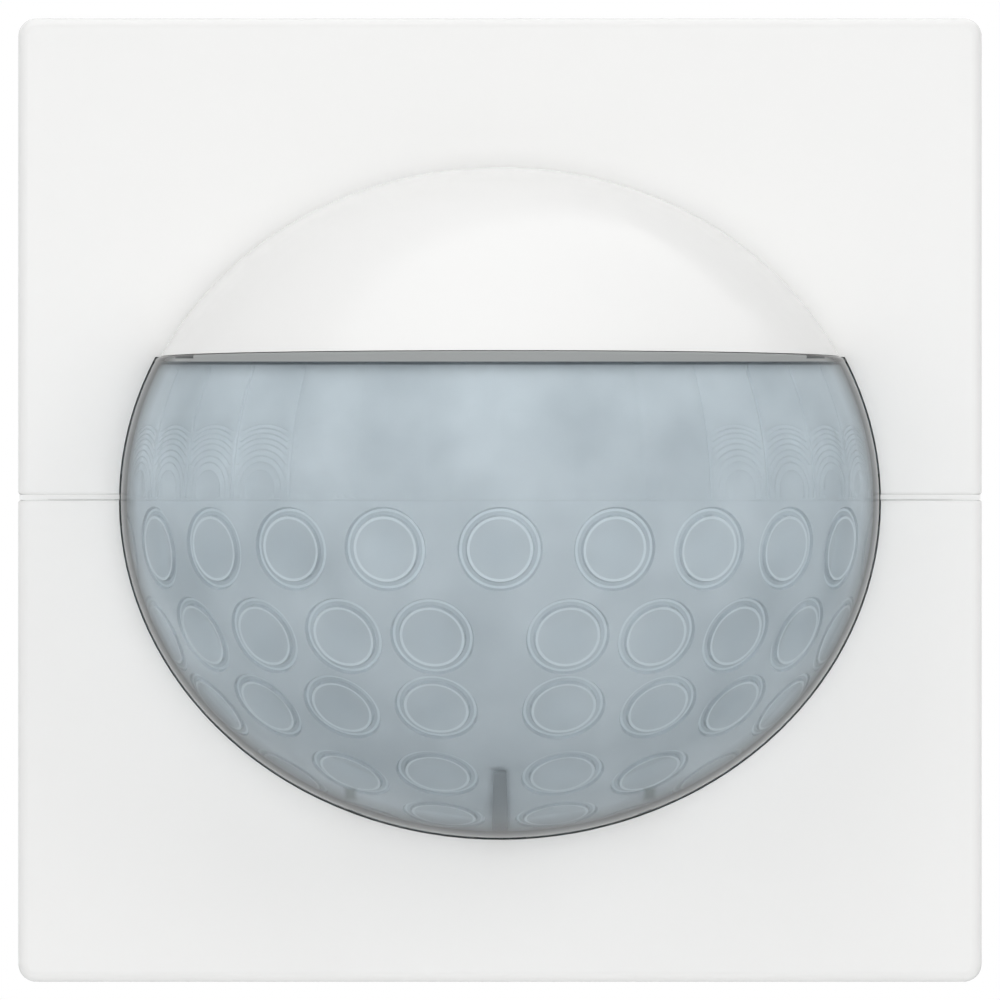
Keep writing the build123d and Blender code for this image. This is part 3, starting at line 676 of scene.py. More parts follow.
@dataclass
class Lens:
    """The smoky domed lens with its rows of lenslets, flange, ribs and snap legs."""

    # The dome: the height of its middle, its walls, its flange, its edges and their points
    centre: float = -0.08
    wall: float = 0.55
    ceiling: float = 0.16
    rise: float = 0.07
    flange: float = 1.2
    flange_thickness: float = 0.9
    outer_fillet: float = 0.25
    inner_fillet: float = 0.12
    meridian_points: int = 84
    turn_points: int = 150
    fillet_points: int = 4
    # A lenslet is a raised centre in a raised ring.
    lenslet_radius: float = 2.56
    zone_radius: float = 2.06
    step_width: float = 0.11
    rim_width: float = 0.17
    lenslet_height: float = 0.24
    lenslet_points: int = 50
    zone_points: int = 44
    outer_step_height: float = 0.24
    # The relief of the upper band, and the even points between all that is drawn
    groove_height: float = 0.05
    ridge_height: float = 0.08
    ridge_half_width: float = 0.14
    fill_spacing: float = 0.8
    fill_clearance: float = 0.44
    foot_ledge: float = 0.1
    embedded: float = 0.12
    # The band has tall lenses side by side, with arched grooves. Steps and reaches are in degrees.
    band_step: float = 11.0
    band_margin: float = 1.1
    band_centre: float = 0.7
    band_borders: int = 7
    band_rows: int = 16
    band_foot_gap: float = 0.12
    band_side_gap: float = 0.14
    shelf_reach: float = 86.0
    shelf_share: float = 0.5
    shelf_points: int = 120
    arch_points: int = 28
    arch_foot_gap: float = 0.1
    arch_share: float = 0.98
    # Up to this many degrees from the middle the band's relief has this share, then it grows.
    faint_share: float = 0.22
    faint_reach: float = 8.0
    faint_fade: float = 34.0
    # The ribs inside the lower edge
    middle_rib_tip: float = 0.82
    middle_rib_foot: float = 1.08
    middle_rib_top: float = -17.14
    middle_rib_points: int = 24
    side_rib_offset: float = 9.4
    side_rib_width: float = 0.9
    side_rib_depth: float = 1.7
    side_rib_front: float = 12.5
    side_rib_chamfer: float = 0.3
    # The snap legs and their hooks
    leg_width: float = 3.0
    leg_thickness: float = 0.8
    leg_rear: float = 4.3
    hook: float = 0.35
    hook_height: float = 0.8
    hook_ramp: float = 0.3
    hook_nose: float = 0.14
    top_leg_offset: float = 14.0
    # Edges sharper than this, in degrees, stay crisp.
    crease: float = 28.0

    # Azimuths of the lenslets' centres on each side, for each row's elevation, in degrees
    ROWS = {
        -8.0: (0.0, 17.4, 33.2, 49.0, 65.0, 81.0),
        -23.3: (11.0, 26.2, 42.0, 58.2, 74.0),
        -37.3: (12.0, 31.2, 50.0, 69.0),
        -53.6: (16.0, 41.5, 68.0),
        -68.6: (24.0, 66.0),
    }
    # Where a lenslet's raised centre has points: shares of its radius, and how many
    CROWN_RINGS = ((0.72, 26), (0.36, 14))
    GROOVE_RADII = (1.1, 1.62, 2.02, 2.42, 2.8, 3.15, 3.48, 3.8, 4.1)

    def __post_init__(self) -> None:
        """Takes the main sizes from the CAD lens."""
        low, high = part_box("fresnel_lens")
        self.half_width = high.x / MM - self.flange
        # The hooks of the two upper legs reach highest.
        self.top = high.z / MM - self.hook - (self.leg_thickness + self.flange) / 2
        self.spring_depth = -low.y / MM - self.half_width
        self.deck_depth = -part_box("carrier_frame")[0].y / MM
        self.half_height = self.centre - (low.z / MM + self.flange)

    def profile(self, inset: float, top: float, fillet: float) -> list[Spot]:
        """Half of the dome's outline, from its foot to its flat top.

        Args:
            inset: How far inside the outer face.
            top: The height of the flat top.
            fillet: The length of the rounding below the top.

        Returns:
            Pairs of half width and height.
        """
        a, c = self.half_width - inset, self.half_height - inset
        corner_lift = asin((top - self.centre) / c)
        last = corner_lift - fillet / c
        count = self.meridian_points
        lifts = [-pi / 2 + (last + pi / 2) * i / (count - 1) for i in range(count)]
        points = [(a * cos(t), self.centre + c * sin(t)) for t in lifts]
        points[0] = (0.0, points[0][1])
        corner = (a * cos(corner_lift), top)
        after = (corner[0] - fillet, top)
        before = points[-1]
        for i in range(1, self.fillet_points + 1):
            t = i / self.fillet_points
            points.append(tuple(
                (1 - t) ** 2 * before[k] + 2 * t * (1 - t) * corner[k] + t * t * after[k]
                for k in (0, 1)
            ))
        return points

    def turns(self) -> list[float]:
        """The azimuths of the dome's columns, from its left to its right edge."""
        return [-pi / 2 + pi * i / self.turn_points for i in range(self.turn_points + 1)]

    def revolved(self, half_width: float, height: float) -> list[Vector]:
        """One row of points of the dome at a height."""
        return [
            place(half_width * sin(t), self.spring_depth + half_width * max(0.0, cos(t)), height)
            for t in self.turns()
        ]

    def outline(self, points: Sequence[Spot], depth: float) -> list[Vector]:
        """The closed outline of the dome at a depth, from right to left round the foot."""
        right = [place(x, depth, z) for x, z in reversed(points)]
        left = [place(-x, depth, z) for x, z in points]
        return right + left + right[:1]

    def lid(self, points: Sequence[Spot], depth: float) -> list[Vector]:
        """The outline of the flat top, back to a depth."""
        half_width, height = points[-1]
        row = self.revolved(half_width, height)
        return row + [place(half_width, depth, height), place(-half_width, depth, height)]

    def draw_lenslets(self, sheet: LensSheet) -> None:
        """Draws the round lenslets, each a raised centre and a raised ring."""
        step, tall, rim = self.step_width, self.lenslet_height, self.rim_width
        loops = [
            (self.lenslet_radius + step, 0.0, self.lenslet_points),
            (self.zone_radius + step, tall, self.zone_points),
        ]
        for share, count in self.CROWN_RINGS:
            loops.append((self.zone_radius * share, tall * (1 - share ** 2), count))
        share = 1 - rim / self.zone_radius
        ledge = (self.outer_step_height, self.outer_step_height)
        rims = [
            (self.lenslet_radius, ledge, self.lenslet_points),
            (self.zone_radius, (0.0, tall * (1 - share ** 2)), self.zone_points),
        ]
        for lift, turns in self.ROWS.items():
            for turn in turns:
                for side in (-1, 1) if turn else (1,):
                    centre = (radians(side * turn), radians(lift))
                    for radius, height, count in loops:
                        sheet.line(sheet.circle(centre, radius, count), height, closed=True)
                    for radius, heights, count in rims:
                        outer = sheet.circle(centre, radius, count)
                        sheet.rim(outer, sheet.circle(centre, radius - rim, count), heights)
                    sheet.places.append((*centre, tall))

    def fade(self, turn: float) -> float:
        """The share of its depth that the band's relief has at an azimuth, least in the middle."""
        past = abs(degrees(turn)) - self.faint_reach
        return min(1.0, max(self.faint_share, past / self.faint_fade))

    def draw_band(self, sheet: LensSheet) -> None:
        """Draws the tall lenses of the upper band: their borders and their grooves."""
        half = self.ridge_half_width
        a, c = sheet.half_width, sheet.half_height
        bottom = (half + self.band_foot_gap) / c
        top = asin((self.top - self.band_margin - self.centre) / c)
        rows = [bottom + (top - bottom) * i / self.band_rows for i in range(self.band_rows + 1)]
        count = self.band_borders
        for index in range(-count, count + 1):
            border = radians(index * self.band_step)
            ridge = self.ridge_height * self.fade(border)
            for shift, height in ((-half, 0.0), (0.0, ridge), (half, 0.0)):
                sheet.line([(border + shift / (a * cos(t)), t) for t in rows], height)
        wide, steps = radians(self.shelf_reach), self.shelf_points
        across = [-wide + 2 * wide * i / steps for i in range(steps + 1)]
        shelf = self.shelf_share * self.ridge_height
        for shift, height in ((-half, 0.0), (0.0, shelf), (half, 0.0)):
            sheet.line([(t, shift / c) for t in across], height)
        middle = asin((self.band_centre - self.centre) / c)
        reach = radians(self.band_step / 2) - (half + self.band_side_gap) / a
        for index in range(-count - 1, count + 1):
            centre = (radians((index + 0.5) * self.band_step), middle)
            groove = self.groove_height * self.fade(centre[0])
            for radius in self.GROOVE_RADII:
                for extra, height in ((self.step_width, 0.0), (0.0, groove)):
                    arc = [
                        sheet.around(centre, radius + extra, pi * i / self.arch_points)
                        for i in range(self.arch_points + 1)
                    ]
                    arc = [p for p in arc if abs(p[0] - centre[0]) < reach]
                    if radius + extra < a * reach * self.arch_share:
                        foot = (half + self.arch_foot_gap) / c
                        legs = [middle + (foot - middle) * k / 2 for k in (1, 2)]
                        arc = [(arc[0][0], t) for t in reversed(legs)] + arc
                        arc += [(arc[-1][0], t) for t in legs]
                    sheet.line(arc, height)

    def add_inner_face(self, draft: MeshDraft, points: Sequence[Spot]) -> None:
        """Adds the inner face of the dome with its lenslets and grooves."""
        a, c = self.half_width - self.wall, self.half_height - self.wall
        sheet = LensSheet(a, c)
        side = points[:self.meridian_points]
        lifts = [asin(max(-1.0, (z - self.centre) / c)) for _, z in side]
        columns = self.turns()
        border = [(pi / 2, t) for t in lifts]
        border += [(turn, lifts[-1]) for turn in reversed(columns[1:-1])]
        border += [(-pi / 2, t) for t in reversed(lifts[1:])]
        sheet.line(border, 0.0, closed=True)
        self.draw_lenslets(sheet)
        self.draw_band(sheet)

        def on_face(turn: float, lift: float, height: float = 0.0) -> Vector:
            """A point of the dome's inner face, raised off it into the hollow."""
            flat = Vector((a * cos(lift) * sin(turn), a * cos(lift) * cos(turn), c * sin(lift)))
            out = Vector((flat.x / a ** 2, flat.y / a ** 2, flat.z / c ** 2)).normalized()
            return flat - height * out

        sheet.fill(self.fill_spacing, self.fill_clearance, on_face)
        places, plain, rims = sheet.mesh()
        solid = []
        for turn, lift, height in places:
            p = on_face(turn, lift, height)
            solid.append(place(p.x, self.spring_depth + max(0.0, p.y), self.centre + p.z))
        draft.add(solid, plain, LensSlot.INSIDE)
        draft.add(solid, rims, LensSlot.RIM)

    def add_ribs(self, draft: MeshDraft) -> None:
        """Adds the upright ribs inside the lower edge, each a closed block."""
        a, c = self.half_width - self.embedded, self.half_height - self.embedded
        start = asin((self.middle_rib_top - self.centre) / c)
        side = [(self.deck_depth, self.middle_rib_top)]
        for i in range(self.middle_rib_points + 1):
            t = start + (-pi / 2 - start) * i / self.middle_rib_points
            side.append((self.spring_depth + a * cos(t), self.centre + c * sin(t)))
        side.append((self.deck_depth, side[-1][1]))
        low, high = side[-1][1], self.middle_rib_top
        foot, more = self.middle_rib_foot, self.middle_rib_tip - self.middle_rib_foot
        walls = [
            [place(way * (foot + more * (z - low) / (high - low)) / 2, depth, z) for depth, z in side]
            for way in (-1, 1)
        ]
        self.add_prism(draft, walls, LensSlot.THICK)
        front, tall = self.side_rib_front, self.side_rib_depth
        corners = [
            (self.deck_depth, 0.0), (front - self.side_rib_chamfer, 0.0),
            (front, self.side_rib_chamfer), (front, tall), (self.deck_depth, tall),
        ]
        for way in (-1, 1):
            x = way * self.side_rib_offset
            drop = sqrt(1 - (x / a) ** 2)
            lean = atan2(x / a * c, drop * a)
            across, up = Vector((cos(lean), 0, sin(lean))), Vector((-sin(lean), 0, cos(lean)))
            start = Vector((x, 0, self.centre - c * drop))
            walls = [
                [
                    place(p.x, depth, p.z)
                    for depth, lift in corners
                    for p in [start + lift * up + shift * self.side_rib_width / 2 * across]
                ]
                for shift in (-1, 1)
            ]
            self.add_prism(draft, walls, LensSlot.THICK)

    def add_prism(self, draft: MeshDraft, walls: Sequence[Sequence[Vector]], slot: int) -> None:
        """Adds a closed block between two outlines of equal length, in a material slot."""
        count = len(walls[0])
        faces: list[tuple[int, ...]] = [tuple(range(count)), tuple(range(2 * count - 1, count - 1, -1))]
        faces += [(i, i + count, (i + 1) % count + count, (i + 1) % count) for i in range(count)]
        draft.add([*walls[0], *walls[1]], faces, slot)

    def add_legs(self, draft: MeshDraft) -> None:
        """Adds the five snap legs behind the flange, each with its hook."""
        side = self.half_width - self.wall / 2
        foot = self.centre - self.half_height + self.wall / 2
        upper = self.top + self.flange / 2
        places = [((side, 0.0), (1, 0)), ((-side, 0.0), (-1, 0)), ((0.0, foot), (0, -1))]
        places += [((way * self.top_leg_offset, upper), (0, 1)) for way in (-1, 1)]
        half, slim = self.leg_width / 2, self.leg_thickness / 2
        front, rear = self.deck_depth + self.embedded, self.leg_rear
        steps = [
            (front, -slim), (rear, -slim), (rear, slim + self.hook_nose),
            (rear + self.hook_ramp, slim + self.hook),
            (rear + self.hook_height, slim + self.hook),
            (rear + self.hook_height, slim), (front, slim),
        ]
        for (x, z), (out_x, out_z) in places:
            walls = [
                [
                    place(x + out * out_x + way * half * out_z, depth,
                          z + out * out_z + way * half * out_x)
                    for depth, out in steps
                ]
                for way in (-1, 1)
            ]
            self.add_prism(draft, walls, LensSlot.OUTSIDE)

    def build(self) -> bpy.types.Object:
        """Builds the lens as one piece that stands for the CAD lens."""
        draft = MeshDraft()
        crown = self.top + self.rise
        outer = self.profile(0.0, crown, self.outer_fillet)
        inner = self.profile(self.wall, crown - self.ceiling, self.inner_fillet)
        ledge = self.profile(-self.foot_ledge, self.top + self.foot_ledge, self.outer_fillet)
        edge = self.profile(-self.flange, self.top + self.flange, self.outer_fillet)
        front = self.deck_depth + self.flange_thickness
        draft.grid([self.revolved(x, z) for x, z in outer], LensSlot.OUTSIDE)
        step, deck = self.spring_depth - self.foot_ledge, self.deck_depth
        steps = (
            (outer, self.spring_depth), (outer, step), (ledge, step), (ledge, front),
            (edge, front), (edge, deck), (inner, deck),
        )
        for before, after in zip(steps, steps[1:]):
            draft.grid([self.outline(*before), self.outline(*after)], LensSlot.OUTSIDE)
        rear = [self.outline(inner, depth) for depth in (deck, self.spring_depth)]
        rounding = [self.revolved(x, z) for x, z in inner[self.meridian_points - 1:]]
        for rows in (rear, rounding):
            draft.grid(rows, LensSlot.INSIDE)
        for points, slot in ((outer, LensSlot.TOP), (inner, LensSlot.INSIDE)):
            lid = self.lid(points, self.spring_depth)
            draft.add(lid, [tuple(range(len(lid)))], slot)
        self.add_inner_face(draft, inner)
        self.add_ribs(draft)
        self.add_legs(draft)
        finishes = (LENS_OUTSIDE, LENS_INSIDE, LENS_THICK, LENS_TOP, LENS_RIM_HIGHLIGHT)
        piece = draft.build("lens_with_lenslets", finishes, self.crease)
        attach(piece, "base")
        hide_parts("fresnel_lens")
        return piece


def dress_cad_nodes() -> int:
    """Gives every CAD node the finish of its material slot.

    Returns:
        The number of nodes dressed.
    """
    for part in frame["record"]["subparts"]:
        node = frame["nodes"][part["node"]]
        node.data.materials.clear()
        node.data.materials.append(SLOT_FINISHES[part["material_slot"]].material())
    return len(frame["record"]["subparts"])


class NodeShape:
    """A Geometry Nodes tree with named sizes, grown on a seed and turned into a plain mesh."""

    WELD_REACH = 1e-4 * MM

    def __init__(self, name: str, sizes: dict[str, float]) -> None:
        """Makes the tree with one input for each size."""
        self.name = name
        self.sizes = sizes
        self.tree = bpy.data.node_groups.new(name, "GeometryNodeTree")
        face = self.tree.interface
        face.new_socket("Seed", in_out="INPUT", socket_type="NodeSocketGeometry")
        for label in sizes:
            face.new_socket(label, in_out="INPUT", socket_type="NodeSocketFloat")
        face.new_socket("Shape", in_out="OUTPUT", socket_type="NodeSocketGeometry")
        self.inputs = add_node(self.tree, "NodeGroupInput").outputs

    def end(self, shape: Source, finish: Finish) -> None:
        """Ends the tree: merges the instances and sets the material."""
        real = add_node(self.tree, "GeometryNodeRealizeInstances", {}, {0: shape})
        dressed = add_node(self.tree, "GeometryNodeSetMaterial", {"Material": finish.material()}, {0: real})
        add_node(self.tree, "NodeGroupOutput", {}, {0: dressed})

    def grow(self, seed: bpy.types.Mesh, finish: Finish, smooth_angle: float) -> bpy.types.Object:
        """Runs the tree.

        Args:
            seed: The mesh that the tree starts from.
            finish: The finish, for the plain mesh's slot.
            smooth_angle: Edges sharper than this, in degrees, stay crisp.

        Returns:
            An object at the origin with a plain mesh.
        """
        host = add_object(self.name, seed)
        modifier = host.modifiers.new("grow", "NODES")
        modifier.node_group = self.tree
        for item in self.tree.interface.items_tree:
            if item.name in self.sizes:
                modifier[item.identifier] = float(self.sizes[item.name])
        bpy.context.view_layer.update()
        ready = host.evaluated_get(bpy.context.evaluated_depsgraph_get())
        mesh = bpy.data.meshes.new_from_object(ready)
        host.modifiers.remove(modifier)
        work = bmesh.new()
        work.from_mesh(mesh)
        open_edges = weld(work, self.WELD_REACH, smooth_angle)
        work.to_mesh(mesh)
        work.free()
        mesh.materials.clear()
        mesh.materials.append(finish.material())
        host.data = mesh
        log.info("%s: %d faces, %d open edges", self.name, len(mesh.polygons), open_edges)
        return host


def spine(points: Sequence[Point], girths: Sequence[float]) -> bpy.types.Mesh:
    """Makes a seed line whose points carry the girth of what is swept along it.

    Args:
        points: The line's points in metres.
        girths: The girth at each point, in metres.

    Returns:
        A mesh of edges with the attribute girth.
    """
    mesh = bpy.data.meshes.new("spine")
    mesh.from_pydata(points, [(i, i + 1) for i in range(len(points) - 1)], [])
    layer = mesh.attributes.new("girth", "FLOAT", "POINT")
    layer.data.foreach_set("value", list(girths))
    return mesh


def swept(shape: NodeShape, line: Source, sides: int) -> Source:
    """Adds the nodes that sweep a round or square section along a line.

    Args:
        shape: The tree.
        line: The seed line.
        sides: The number of sides of the section.

    Returns:
        The swept body with closed ends.
    """
    curve = add_node(shape.tree, "GeometryNodeMeshToCurve", {}, {0: line})
    girth = add_node(shape.tree, "GeometryNodeInputNamedAttribute", {"data_type": "FLOAT", "Name": "girth"})
    section = add_node(shape.tree, "GeometryNodeCurvePrimitiveCircle", {"Resolution": sides, "Radius": 1.0})
    tilted = add_node(shape.tree, "GeometryNodeTransform", {"Rotation": (0, 0, pi / sides)}, {0: section})
    return add_node(
        shape.tree, "GeometryNodeCurveToMesh", {"Fill Caps": True},
        {0: curve, 1: tilted, "Scale": girth},
    )


def on_grid(shape: NodeShape, piece: Source, columns: int, rows: int) -> Source:
    """Adds the nodes that repeat a piece on an upright grid.

    Args:
        shape: The tree, with the inputs Width, Height and Middle height.
        piece: The piece to repeat.
        columns: The number across.
        rows: The number up.

    Returns:
        The repeated pieces.
    """
    points = add_node(
        shape.tree, "GeometryNodeMeshGrid", {"Vertices X": columns, "Vertices Y": rows},
        {"Size X": shape.inputs["Width"], "Size Y": shape.inputs["Height"]},
    )
    lift = add_node(shape.tree, "ShaderNodeCombineXYZ", {}, {2: shape.inputs["Middle height"]})
    upright = add_node(
        shape.tree, "GeometryNodeTransform", {"Rotation": (pi / 2, 0, 0)},
        {0: points, "Translation": lift},
    )
    return add_node(shape.tree, "GeometryNodeInstanceOnPoints", {}, {0: upright, 2: piece})


@dataclass
class PlugPins:
    """The two rows of gold-plated contact pins with tapered tips."""

    side: float = 0.64
    pitch: float = 2.54
    columns: int = 5
    rows: int = 2
    taper: float = 0.9
    rear_taper: float = 0.3
    tip_share: float = 0.45
    shoulder: float = 0.3
    shoulder_share: float = 0.62
    crease: float = 25.0

    def build(self) -> bpy.types.Object:
        """Builds the pins in place of the CAD pins."""
        low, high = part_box("plug_pins")
        shape = NodeShape("contact_pins", {
            "Width": (self.columns - 1) * self.pitch * MM,
            "Height": (self.rows - 1) * self.pitch * MM,
            "Middle height": (low.z + high.z) / 2,
        })
        girth = self.side / sqrt(2) * MM
        taper = self.taper * MM
        steps = (
            (low.y, self.tip_share), (low.y + self.rear_taper * MM, 1.0), (high.y - taper, 1.0),
            (high.y - taper * self.shoulder, self.shoulder_share), (high.y, self.tip_share),
        )
        seed = spine([(0, y, 0) for y, _ in steps], [girth * share for _, share in steps])
        body = swept(shape, shape.inputs["Seed"], 4)
        shape.end(on_grid(shape, body, self.columns, self.rows), PIN_GOLD)
        piece = shape.grow(seed, PIN_GOLD, self.crease)
        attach(piece, "base")
        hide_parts("plug_pins")
        return piece


@dataclass
class HousingScrews:
    """The four thread-forming screws with pan heads and cross recesses, two by two."""

    head_radius: float = 1.8
    head_height: float = 1.1
    head_edge: float = 0.02
    thread_gap: float = 0.2
    radius: float = 0.9
    core_radius: float = 0.68
    thread_pitch: float = 0.5
    tip_length: float = 0.5
    cross_length: float = 2.1
    cross_width: float = 0.55
    cross_depths: tuple[float, float] = (0.62, 0.7)
    sides: int = 28
    crease: float = 30.0

    # The head's rounding: distances from its top, and shares of its radius
    HEAD_CURVE = ((0.0, 0.72), (0.1, 0.88), (0.3, 0.98), (0.45, 1.0))
    # Where a turn of the thread is full, starts to fall and ends, from where it rises
    THREAD_STEPS = (0.16, 0.22, 0.38)
    # The point: distances from its end, and shares of the core's radius
    POINT = ((0.1, 0.8), (0.0, 0.4))

    def steps(self, length: float) -> list[Spot]:
        """The screw's outline as distances from the head's top, with radii."""
        turn, core = self.head_height, self.core_radius
        points = [(at, self.head_radius * share) for at, share in self.HEAD_CURVE]
        points += [(turn - self.head_edge, self.head_radius), (turn, core)]
        full, fall, end = self.THREAD_STEPS
        at = turn + self.thread_gap
        while at < length - self.tip_length:
            points += [(at, core), (at + full, self.radius), (at + fall, self.radius), (at + end, core)]
            at += self.thread_pitch
        return points + [(length - back, core * share) for back, share in self.POINT]

    def build(self) -> bpy.types.Object:
        """Builds the screws in place of the CAD screws."""
        low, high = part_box("housing_screws")
        head = self.head_radius * MM
        shape = NodeShape("housing_screws_threaded", {
            "Width": high.x - low.x - 2 * head,
            "Height": high.z - low.z - 2 * head,
            "Middle height": (low.z + high.z) / 2,
            "Cross length": self.cross_length * MM,
            "Cross width": self.cross_width * MM,
            "First depth": 2 * self.cross_depths[0] * MM,
            "Second depth": 2 * self.cross_depths[1] * MM,
            "Head top": high.y,
        })
        steps = self.steps((high.y - low.y) / MM)
        seed = spine([(0, high.y - d * MM, 0) for d, _ in steps], [r * MM for _, r in steps])
        cut = swept(shape, shape.inputs["Seed"], self.sides)
        top = add_node(shape.tree, "ShaderNodeCombineXYZ", {}, {1: shape.inputs["Head top"]})
        for sides in (
            ("Cross length", "First depth", "Cross width"),
            ("Cross width", "Second depth", "Cross length"),
        ):
            size = add_node(
                shape.tree, "ShaderNodeCombineXYZ", {},
                {i: shape.inputs[side] for i, side in enumerate(sides)},
            )
            bar = add_node(shape.tree, "GeometryNodeMeshCube", {}, {"Size": size})
            bar = add_node(shape.tree, "GeometryNodeTransform", {}, {0: bar, "Translation": top})
            cut = add_node(
                shape.tree, "GeometryNodeMeshBoolean", {"operation": "DIFFERENCE"}, {0: cut, 1: bar}
            )
        shape.end(on_grid(shape, cut, 2, 2), SCREW_STEEL)
        piece = shape.grow(seed, SCREW_STEEL, self.crease)
        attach(piece, "base")
        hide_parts("housing_screws")
        return piece


@dataclass
class CoilWinding:
    """The enamelled wire wound on the coil's core."""

    wire: float = 0.22
    neck_share: float = 0.62
    height_share: float = 0.5
    sides: int = 8
    turn_steps: int = 24
    crease: float = 60.0

    def build(self) -> bpy.types.Object:
        """Builds the winding round the CAD coil's neck."""
        low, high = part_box("coil")
        height = (high.y - low.y) * self.height_share
        shape = NodeShape("coil_winding", {
            "Radius": (high.x - low.x) / 2 * self.neck_share,
            "Height": height,
            "Turns": height / (self.wire * MM),
            "Wire": self.wire / 2 * MM,
        })
        line = add_node(
            shape.tree, "GeometryNodeCurveSpiral", {"Resolution": self.turn_steps},
            {"Rotations": shape.inputs["Turns"], "Start Radius": shape.inputs["Radius"],
             "End Radius": shape.inputs["Radius"], "Height": shape.inputs["Height"]},
        )
        section = add_node(
            shape.tree, "GeometryNodeCurvePrimitiveCircle", {"Resolution": self.sides},
            {"Radius": shape.inputs["Wire"]},
        )
        wire = add_node(shape.tree, "GeometryNodeCurveToMesh", {"Fill Caps": True}, {0: line, 1: section})
        middle = ((low.x + high.x) / 2, (low.y + high.y) / 2 + height / 2, (low.z + high.z) / 2)
        laid = add_node(
            shape.tree, "GeometryNodeTransform",
            {"Rotation": (pi / 2, 0, 0), "Translation": middle}, {0: wire},
        )
        shape.end(laid, COIL_COPPER)
        piece = shape.grow(bpy.data.meshes.new("winding_seed"), COIL_COPPER, self.crease)
        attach(piece, "base")
        return piece


@dataclass
class SeamTongues:
    """The two tongues of the upper cover that close the seam behind its open groove."""

    groove: float = 0.16
    play: float = 0.02
    thickness: float = 0.9
    side_margin: float = 0.12
    lens_gap: float = 0.12
    crease: float = 30.0

    # The six faces of a block whose corners go by width, then depth, then height
    BLOCK = ((0, 1, 3, 2), (4, 6, 7, 5), (0, 4, 5, 1), (2, 3, 7, 6), (0, 2, 6, 4), (1, 5, 7, 3))

    def build(self) -> bpy.types.Object:
        """Builds both tongues as one piece on the upper cover."""
        plate_low, plate_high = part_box("upper_cover")
        top = plate_low.z / MM
        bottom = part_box("lower_cover")[1].z / MM + self.play
        front = Studio.plate_depth - self.groove
        back = front - self.thickness
        outer = plate_high.x / MM - self.side_margin
        inner = Lens().half_width + self.lens_gap
        draft = MeshDraft()
        for way in (-1, 1):
            corners = [
                place(way * x, depth, z)
                for x in (inner, outer) for depth in (back, front) for z in (bottom, top)
            ]
            draft.add(corners, self.BLOCK)
        piece = draft.build("seam_tongues", (COVER_WHITE,), self.crease)
        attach(piece, "upper_cover")
        return piece


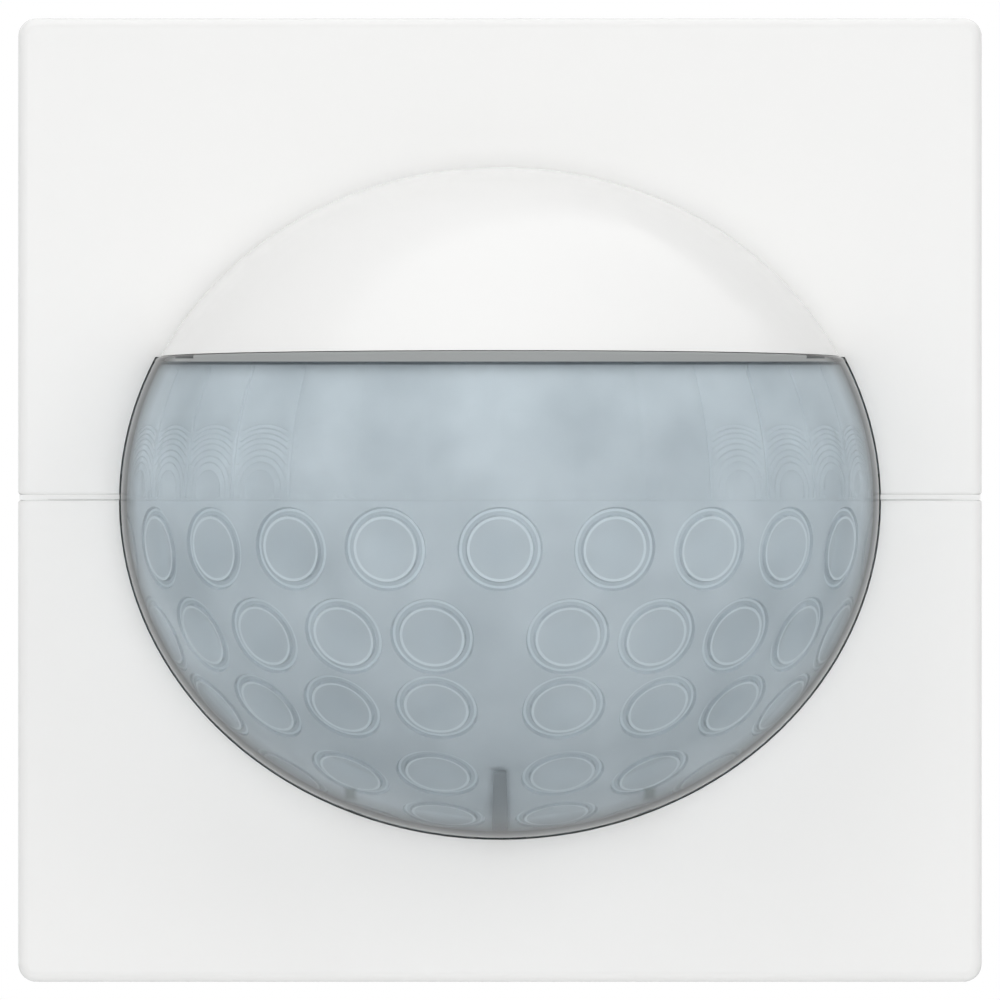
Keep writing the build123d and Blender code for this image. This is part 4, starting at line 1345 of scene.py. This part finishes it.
@dataclass
class Studio:
    """Floor, white surround, lamps and camera."""

    picture_width: float = 65.29
    camera_distance: float = 485.0
    plate_depth: float = 9.5
    sensor: float = 36.0
    floor_drop: float = 420.0
    floor_radius: float = 2500.0
    floor_points: int = 64
    floor_glow: float = 1.7
    floor_paper: float = 0.35
    ambient_front: float = 0.2
    ambient_rear: float = 0.75
    ambient_blend: float = 0.3
    mirrored_radiance: float = 0.7

    # The nearest and farthest that the camera sees, in metres
    CLIP = (0.01, 20.0)
    # The soft lamps: power in watts, side length, and place across, in depth and in height
    LAMPS = {
        "front_softbox": (5.4, 700.0, (40.0, 1150.0, 0.0)),
        "side_softbox": (2.7, 700.0, (900.0, 700.0, 620.0)),
        "left_softbox": (2.1, 900.0, (-800.0, 600.0, 500.0)),
        "top_softbox": (2.85, 700.0, (-120.0, 60.0, 900.0)),
    }
    # The overhead panel's sides, its place in the same order, and its turn in degrees
    key_size: tuple[float, float] = (3000.0, 1100.0)
    key_place: Point = (60.0, 148.0, 1000.0)
    key_turn: float = 39.8

    def add_camera(self) -> None:
        """Adds the camera, straight in front, framed as in the photograph."""
        data = bpy.data.cameras.new("camera")
        data.sensor_width = self.sensor
        data.lens = self.sensor * self.camera_distance / self.picture_width
        data.clip_start, data.clip_end = self.CLIP
        camera = add_object("camera", data)
        camera.location = place(0, self.plate_depth + self.camera_distance, 0)
        camera.rotation_euler = (pi / 2, 0, 0)
        bpy.context.scene.camera = camera

    def add_world(self) -> None:
        """Adds the surround: white to the eye and in reflections, softer as a light.

        The lamps light the front, so the surround gives it less than the rear.
        """
        world = bpy.data.worlds.new("white_surround")
        bpy.context.scene.world = world
        world.use_nodes = True
        tree = world.node_tree
        tree.nodes.clear()
        path = add_node(tree, "ShaderNodeLightPath")
        seen = path.outputs["Is Camera Ray"]
        for name in ("Is Glossy Ray", "Is Transmission Ray"):
            seen = add_node(
                tree, "ShaderNodeMath", {"operation": "MAXIMUM"}, {0: seen, 1: path.outputs[name]}
            )
        way = add_node(tree, "ShaderNodeTexCoord").outputs["Generated"]
        depth = add_node(tree, "ShaderNodeSeparateXYZ", {}, {0: way}).outputs[1]
        soft = add_node(
            tree, "ShaderNodeMapRange",
            {1: -self.ambient_blend, 2: self.ambient_blend, 3: self.ambient_front,
             4: self.ambient_rear},
            {0: depth},
        )
        strength = add_node(tree, "ShaderNodeMapRange", {4: 1.0}, {0: seen, 3: soft})
        shade = add_node(tree, "ShaderNodeBackground", {"Color": (1, 1, 1, 1)}, {"Strength": strength})
        add_node(tree, "ShaderNodeOutputWorld", {}, {"Surface": shade})

    def add_floor(self) -> None:
        """Adds the pale floor, which looks white but keeps the object's shadow."""
        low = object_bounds()[0].z - self.floor_drop * MM
        mesh = bpy.data.meshes.new("floor")
        count = self.floor_points
        ring = [
            Vector((cos(2 * pi * i / count), sin(2 * pi * i / count), 0)) * self.floor_radius * MM
            for i in range(count)
        ]
        mesh.from_pydata([p + Vector((0, 0, low)) for p in ring], [], [tuple(range(count))])
        floor = add_object("floor", mesh)
        floor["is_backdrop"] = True
        paint = bpy.data.materials.new("white_paper_floor")
        paint.use_nodes = True
        tree = paint.node_tree
        tree.nodes.clear()
        dull = add_node(tree, "ShaderNodeBsdfDiffuse", {"Color": linear("F0F0F0")})
        glow = add_node(tree, "ShaderNodeEmission", {"Color": (1, 1, 1, 1), "Strength": self.floor_glow})
        both = add_node(tree, "ShaderNodeMixShader", {0: self.floor_paper}, {1: glow, 2: dull})
        path = add_node(tree, "ShaderNodeLightPath")
        pick = add_node(
            tree, "ShaderNodeMixShader", {},
            {0: path.outputs["Is Camera Ray"], 1: dull, 2: both},
        )
        add_node(tree, "ShaderNodeOutputMaterial", {}, {"Surface": pick})
        mesh.materials.append(paint)

    def add_panel(self, name: str, where: Point, size: Sequence[float], power: float) -> bpy.types.Object:
        """Adds a flat soft lamp that faces down.

        Args:
            name: The lamp's name.
            where: Its place: across, depth and height.
            size: The lengths of its two sides.
            power: Its power in watts.

        Returns:
            The lamp.
        """
        data = bpy.data.lights.new(name, "AREA")
        data.shape = "RECTANGLE"
        data.size, data.size_y = (side * MM for side in size)
        data.energy = power
        lamp = add_object(name, data)
        lamp.location = place(*where)
        return lamp

    def add_lamps(self) -> None:
        """Adds the overhead panel that the hood mirrors, and the soft lamps."""
        area = self.key_size[0] * self.key_size[1] * MM * MM
        overhead = self.add_panel(
            "overhead_panel", self.key_place, self.key_size, self.mirrored_radiance * pi * area
        )
        overhead.rotation_euler = (0, 0, radians(self.key_turn))
        overhead.visible_diffuse = False
        overhead.visible_transmission = False
        for name, (power, size, where) in self.LAMPS.items():
            lamp = self.add_panel(name, where, (size, size), power)
            lamp.rotation_euler = (-lamp.location).to_track_quat("-Z", "Y").to_euler()
            lamp.visible_glossy = False

    def build(self) -> None:
        """Builds the whole studio."""
        self.add_camera()
        self.add_world()
        self.add_floor()
        self.add_lamps()
        bpy.context.scene.view_settings.view_transform = "Standard"


def main() -> None:
    """Builds every piece in order."""
    logging.basicConfig(level=logging.INFO, format="%(message)s")
    log.info("dressed %d CAD nodes", dress_cad_nodes())
    Lens().build()
    SeamTongues().build()
    PlugPins().build()
    HousingScrews().build()
    CoilWinding().build()
    Studio().build()


if __name__ == "__main__":
    main()
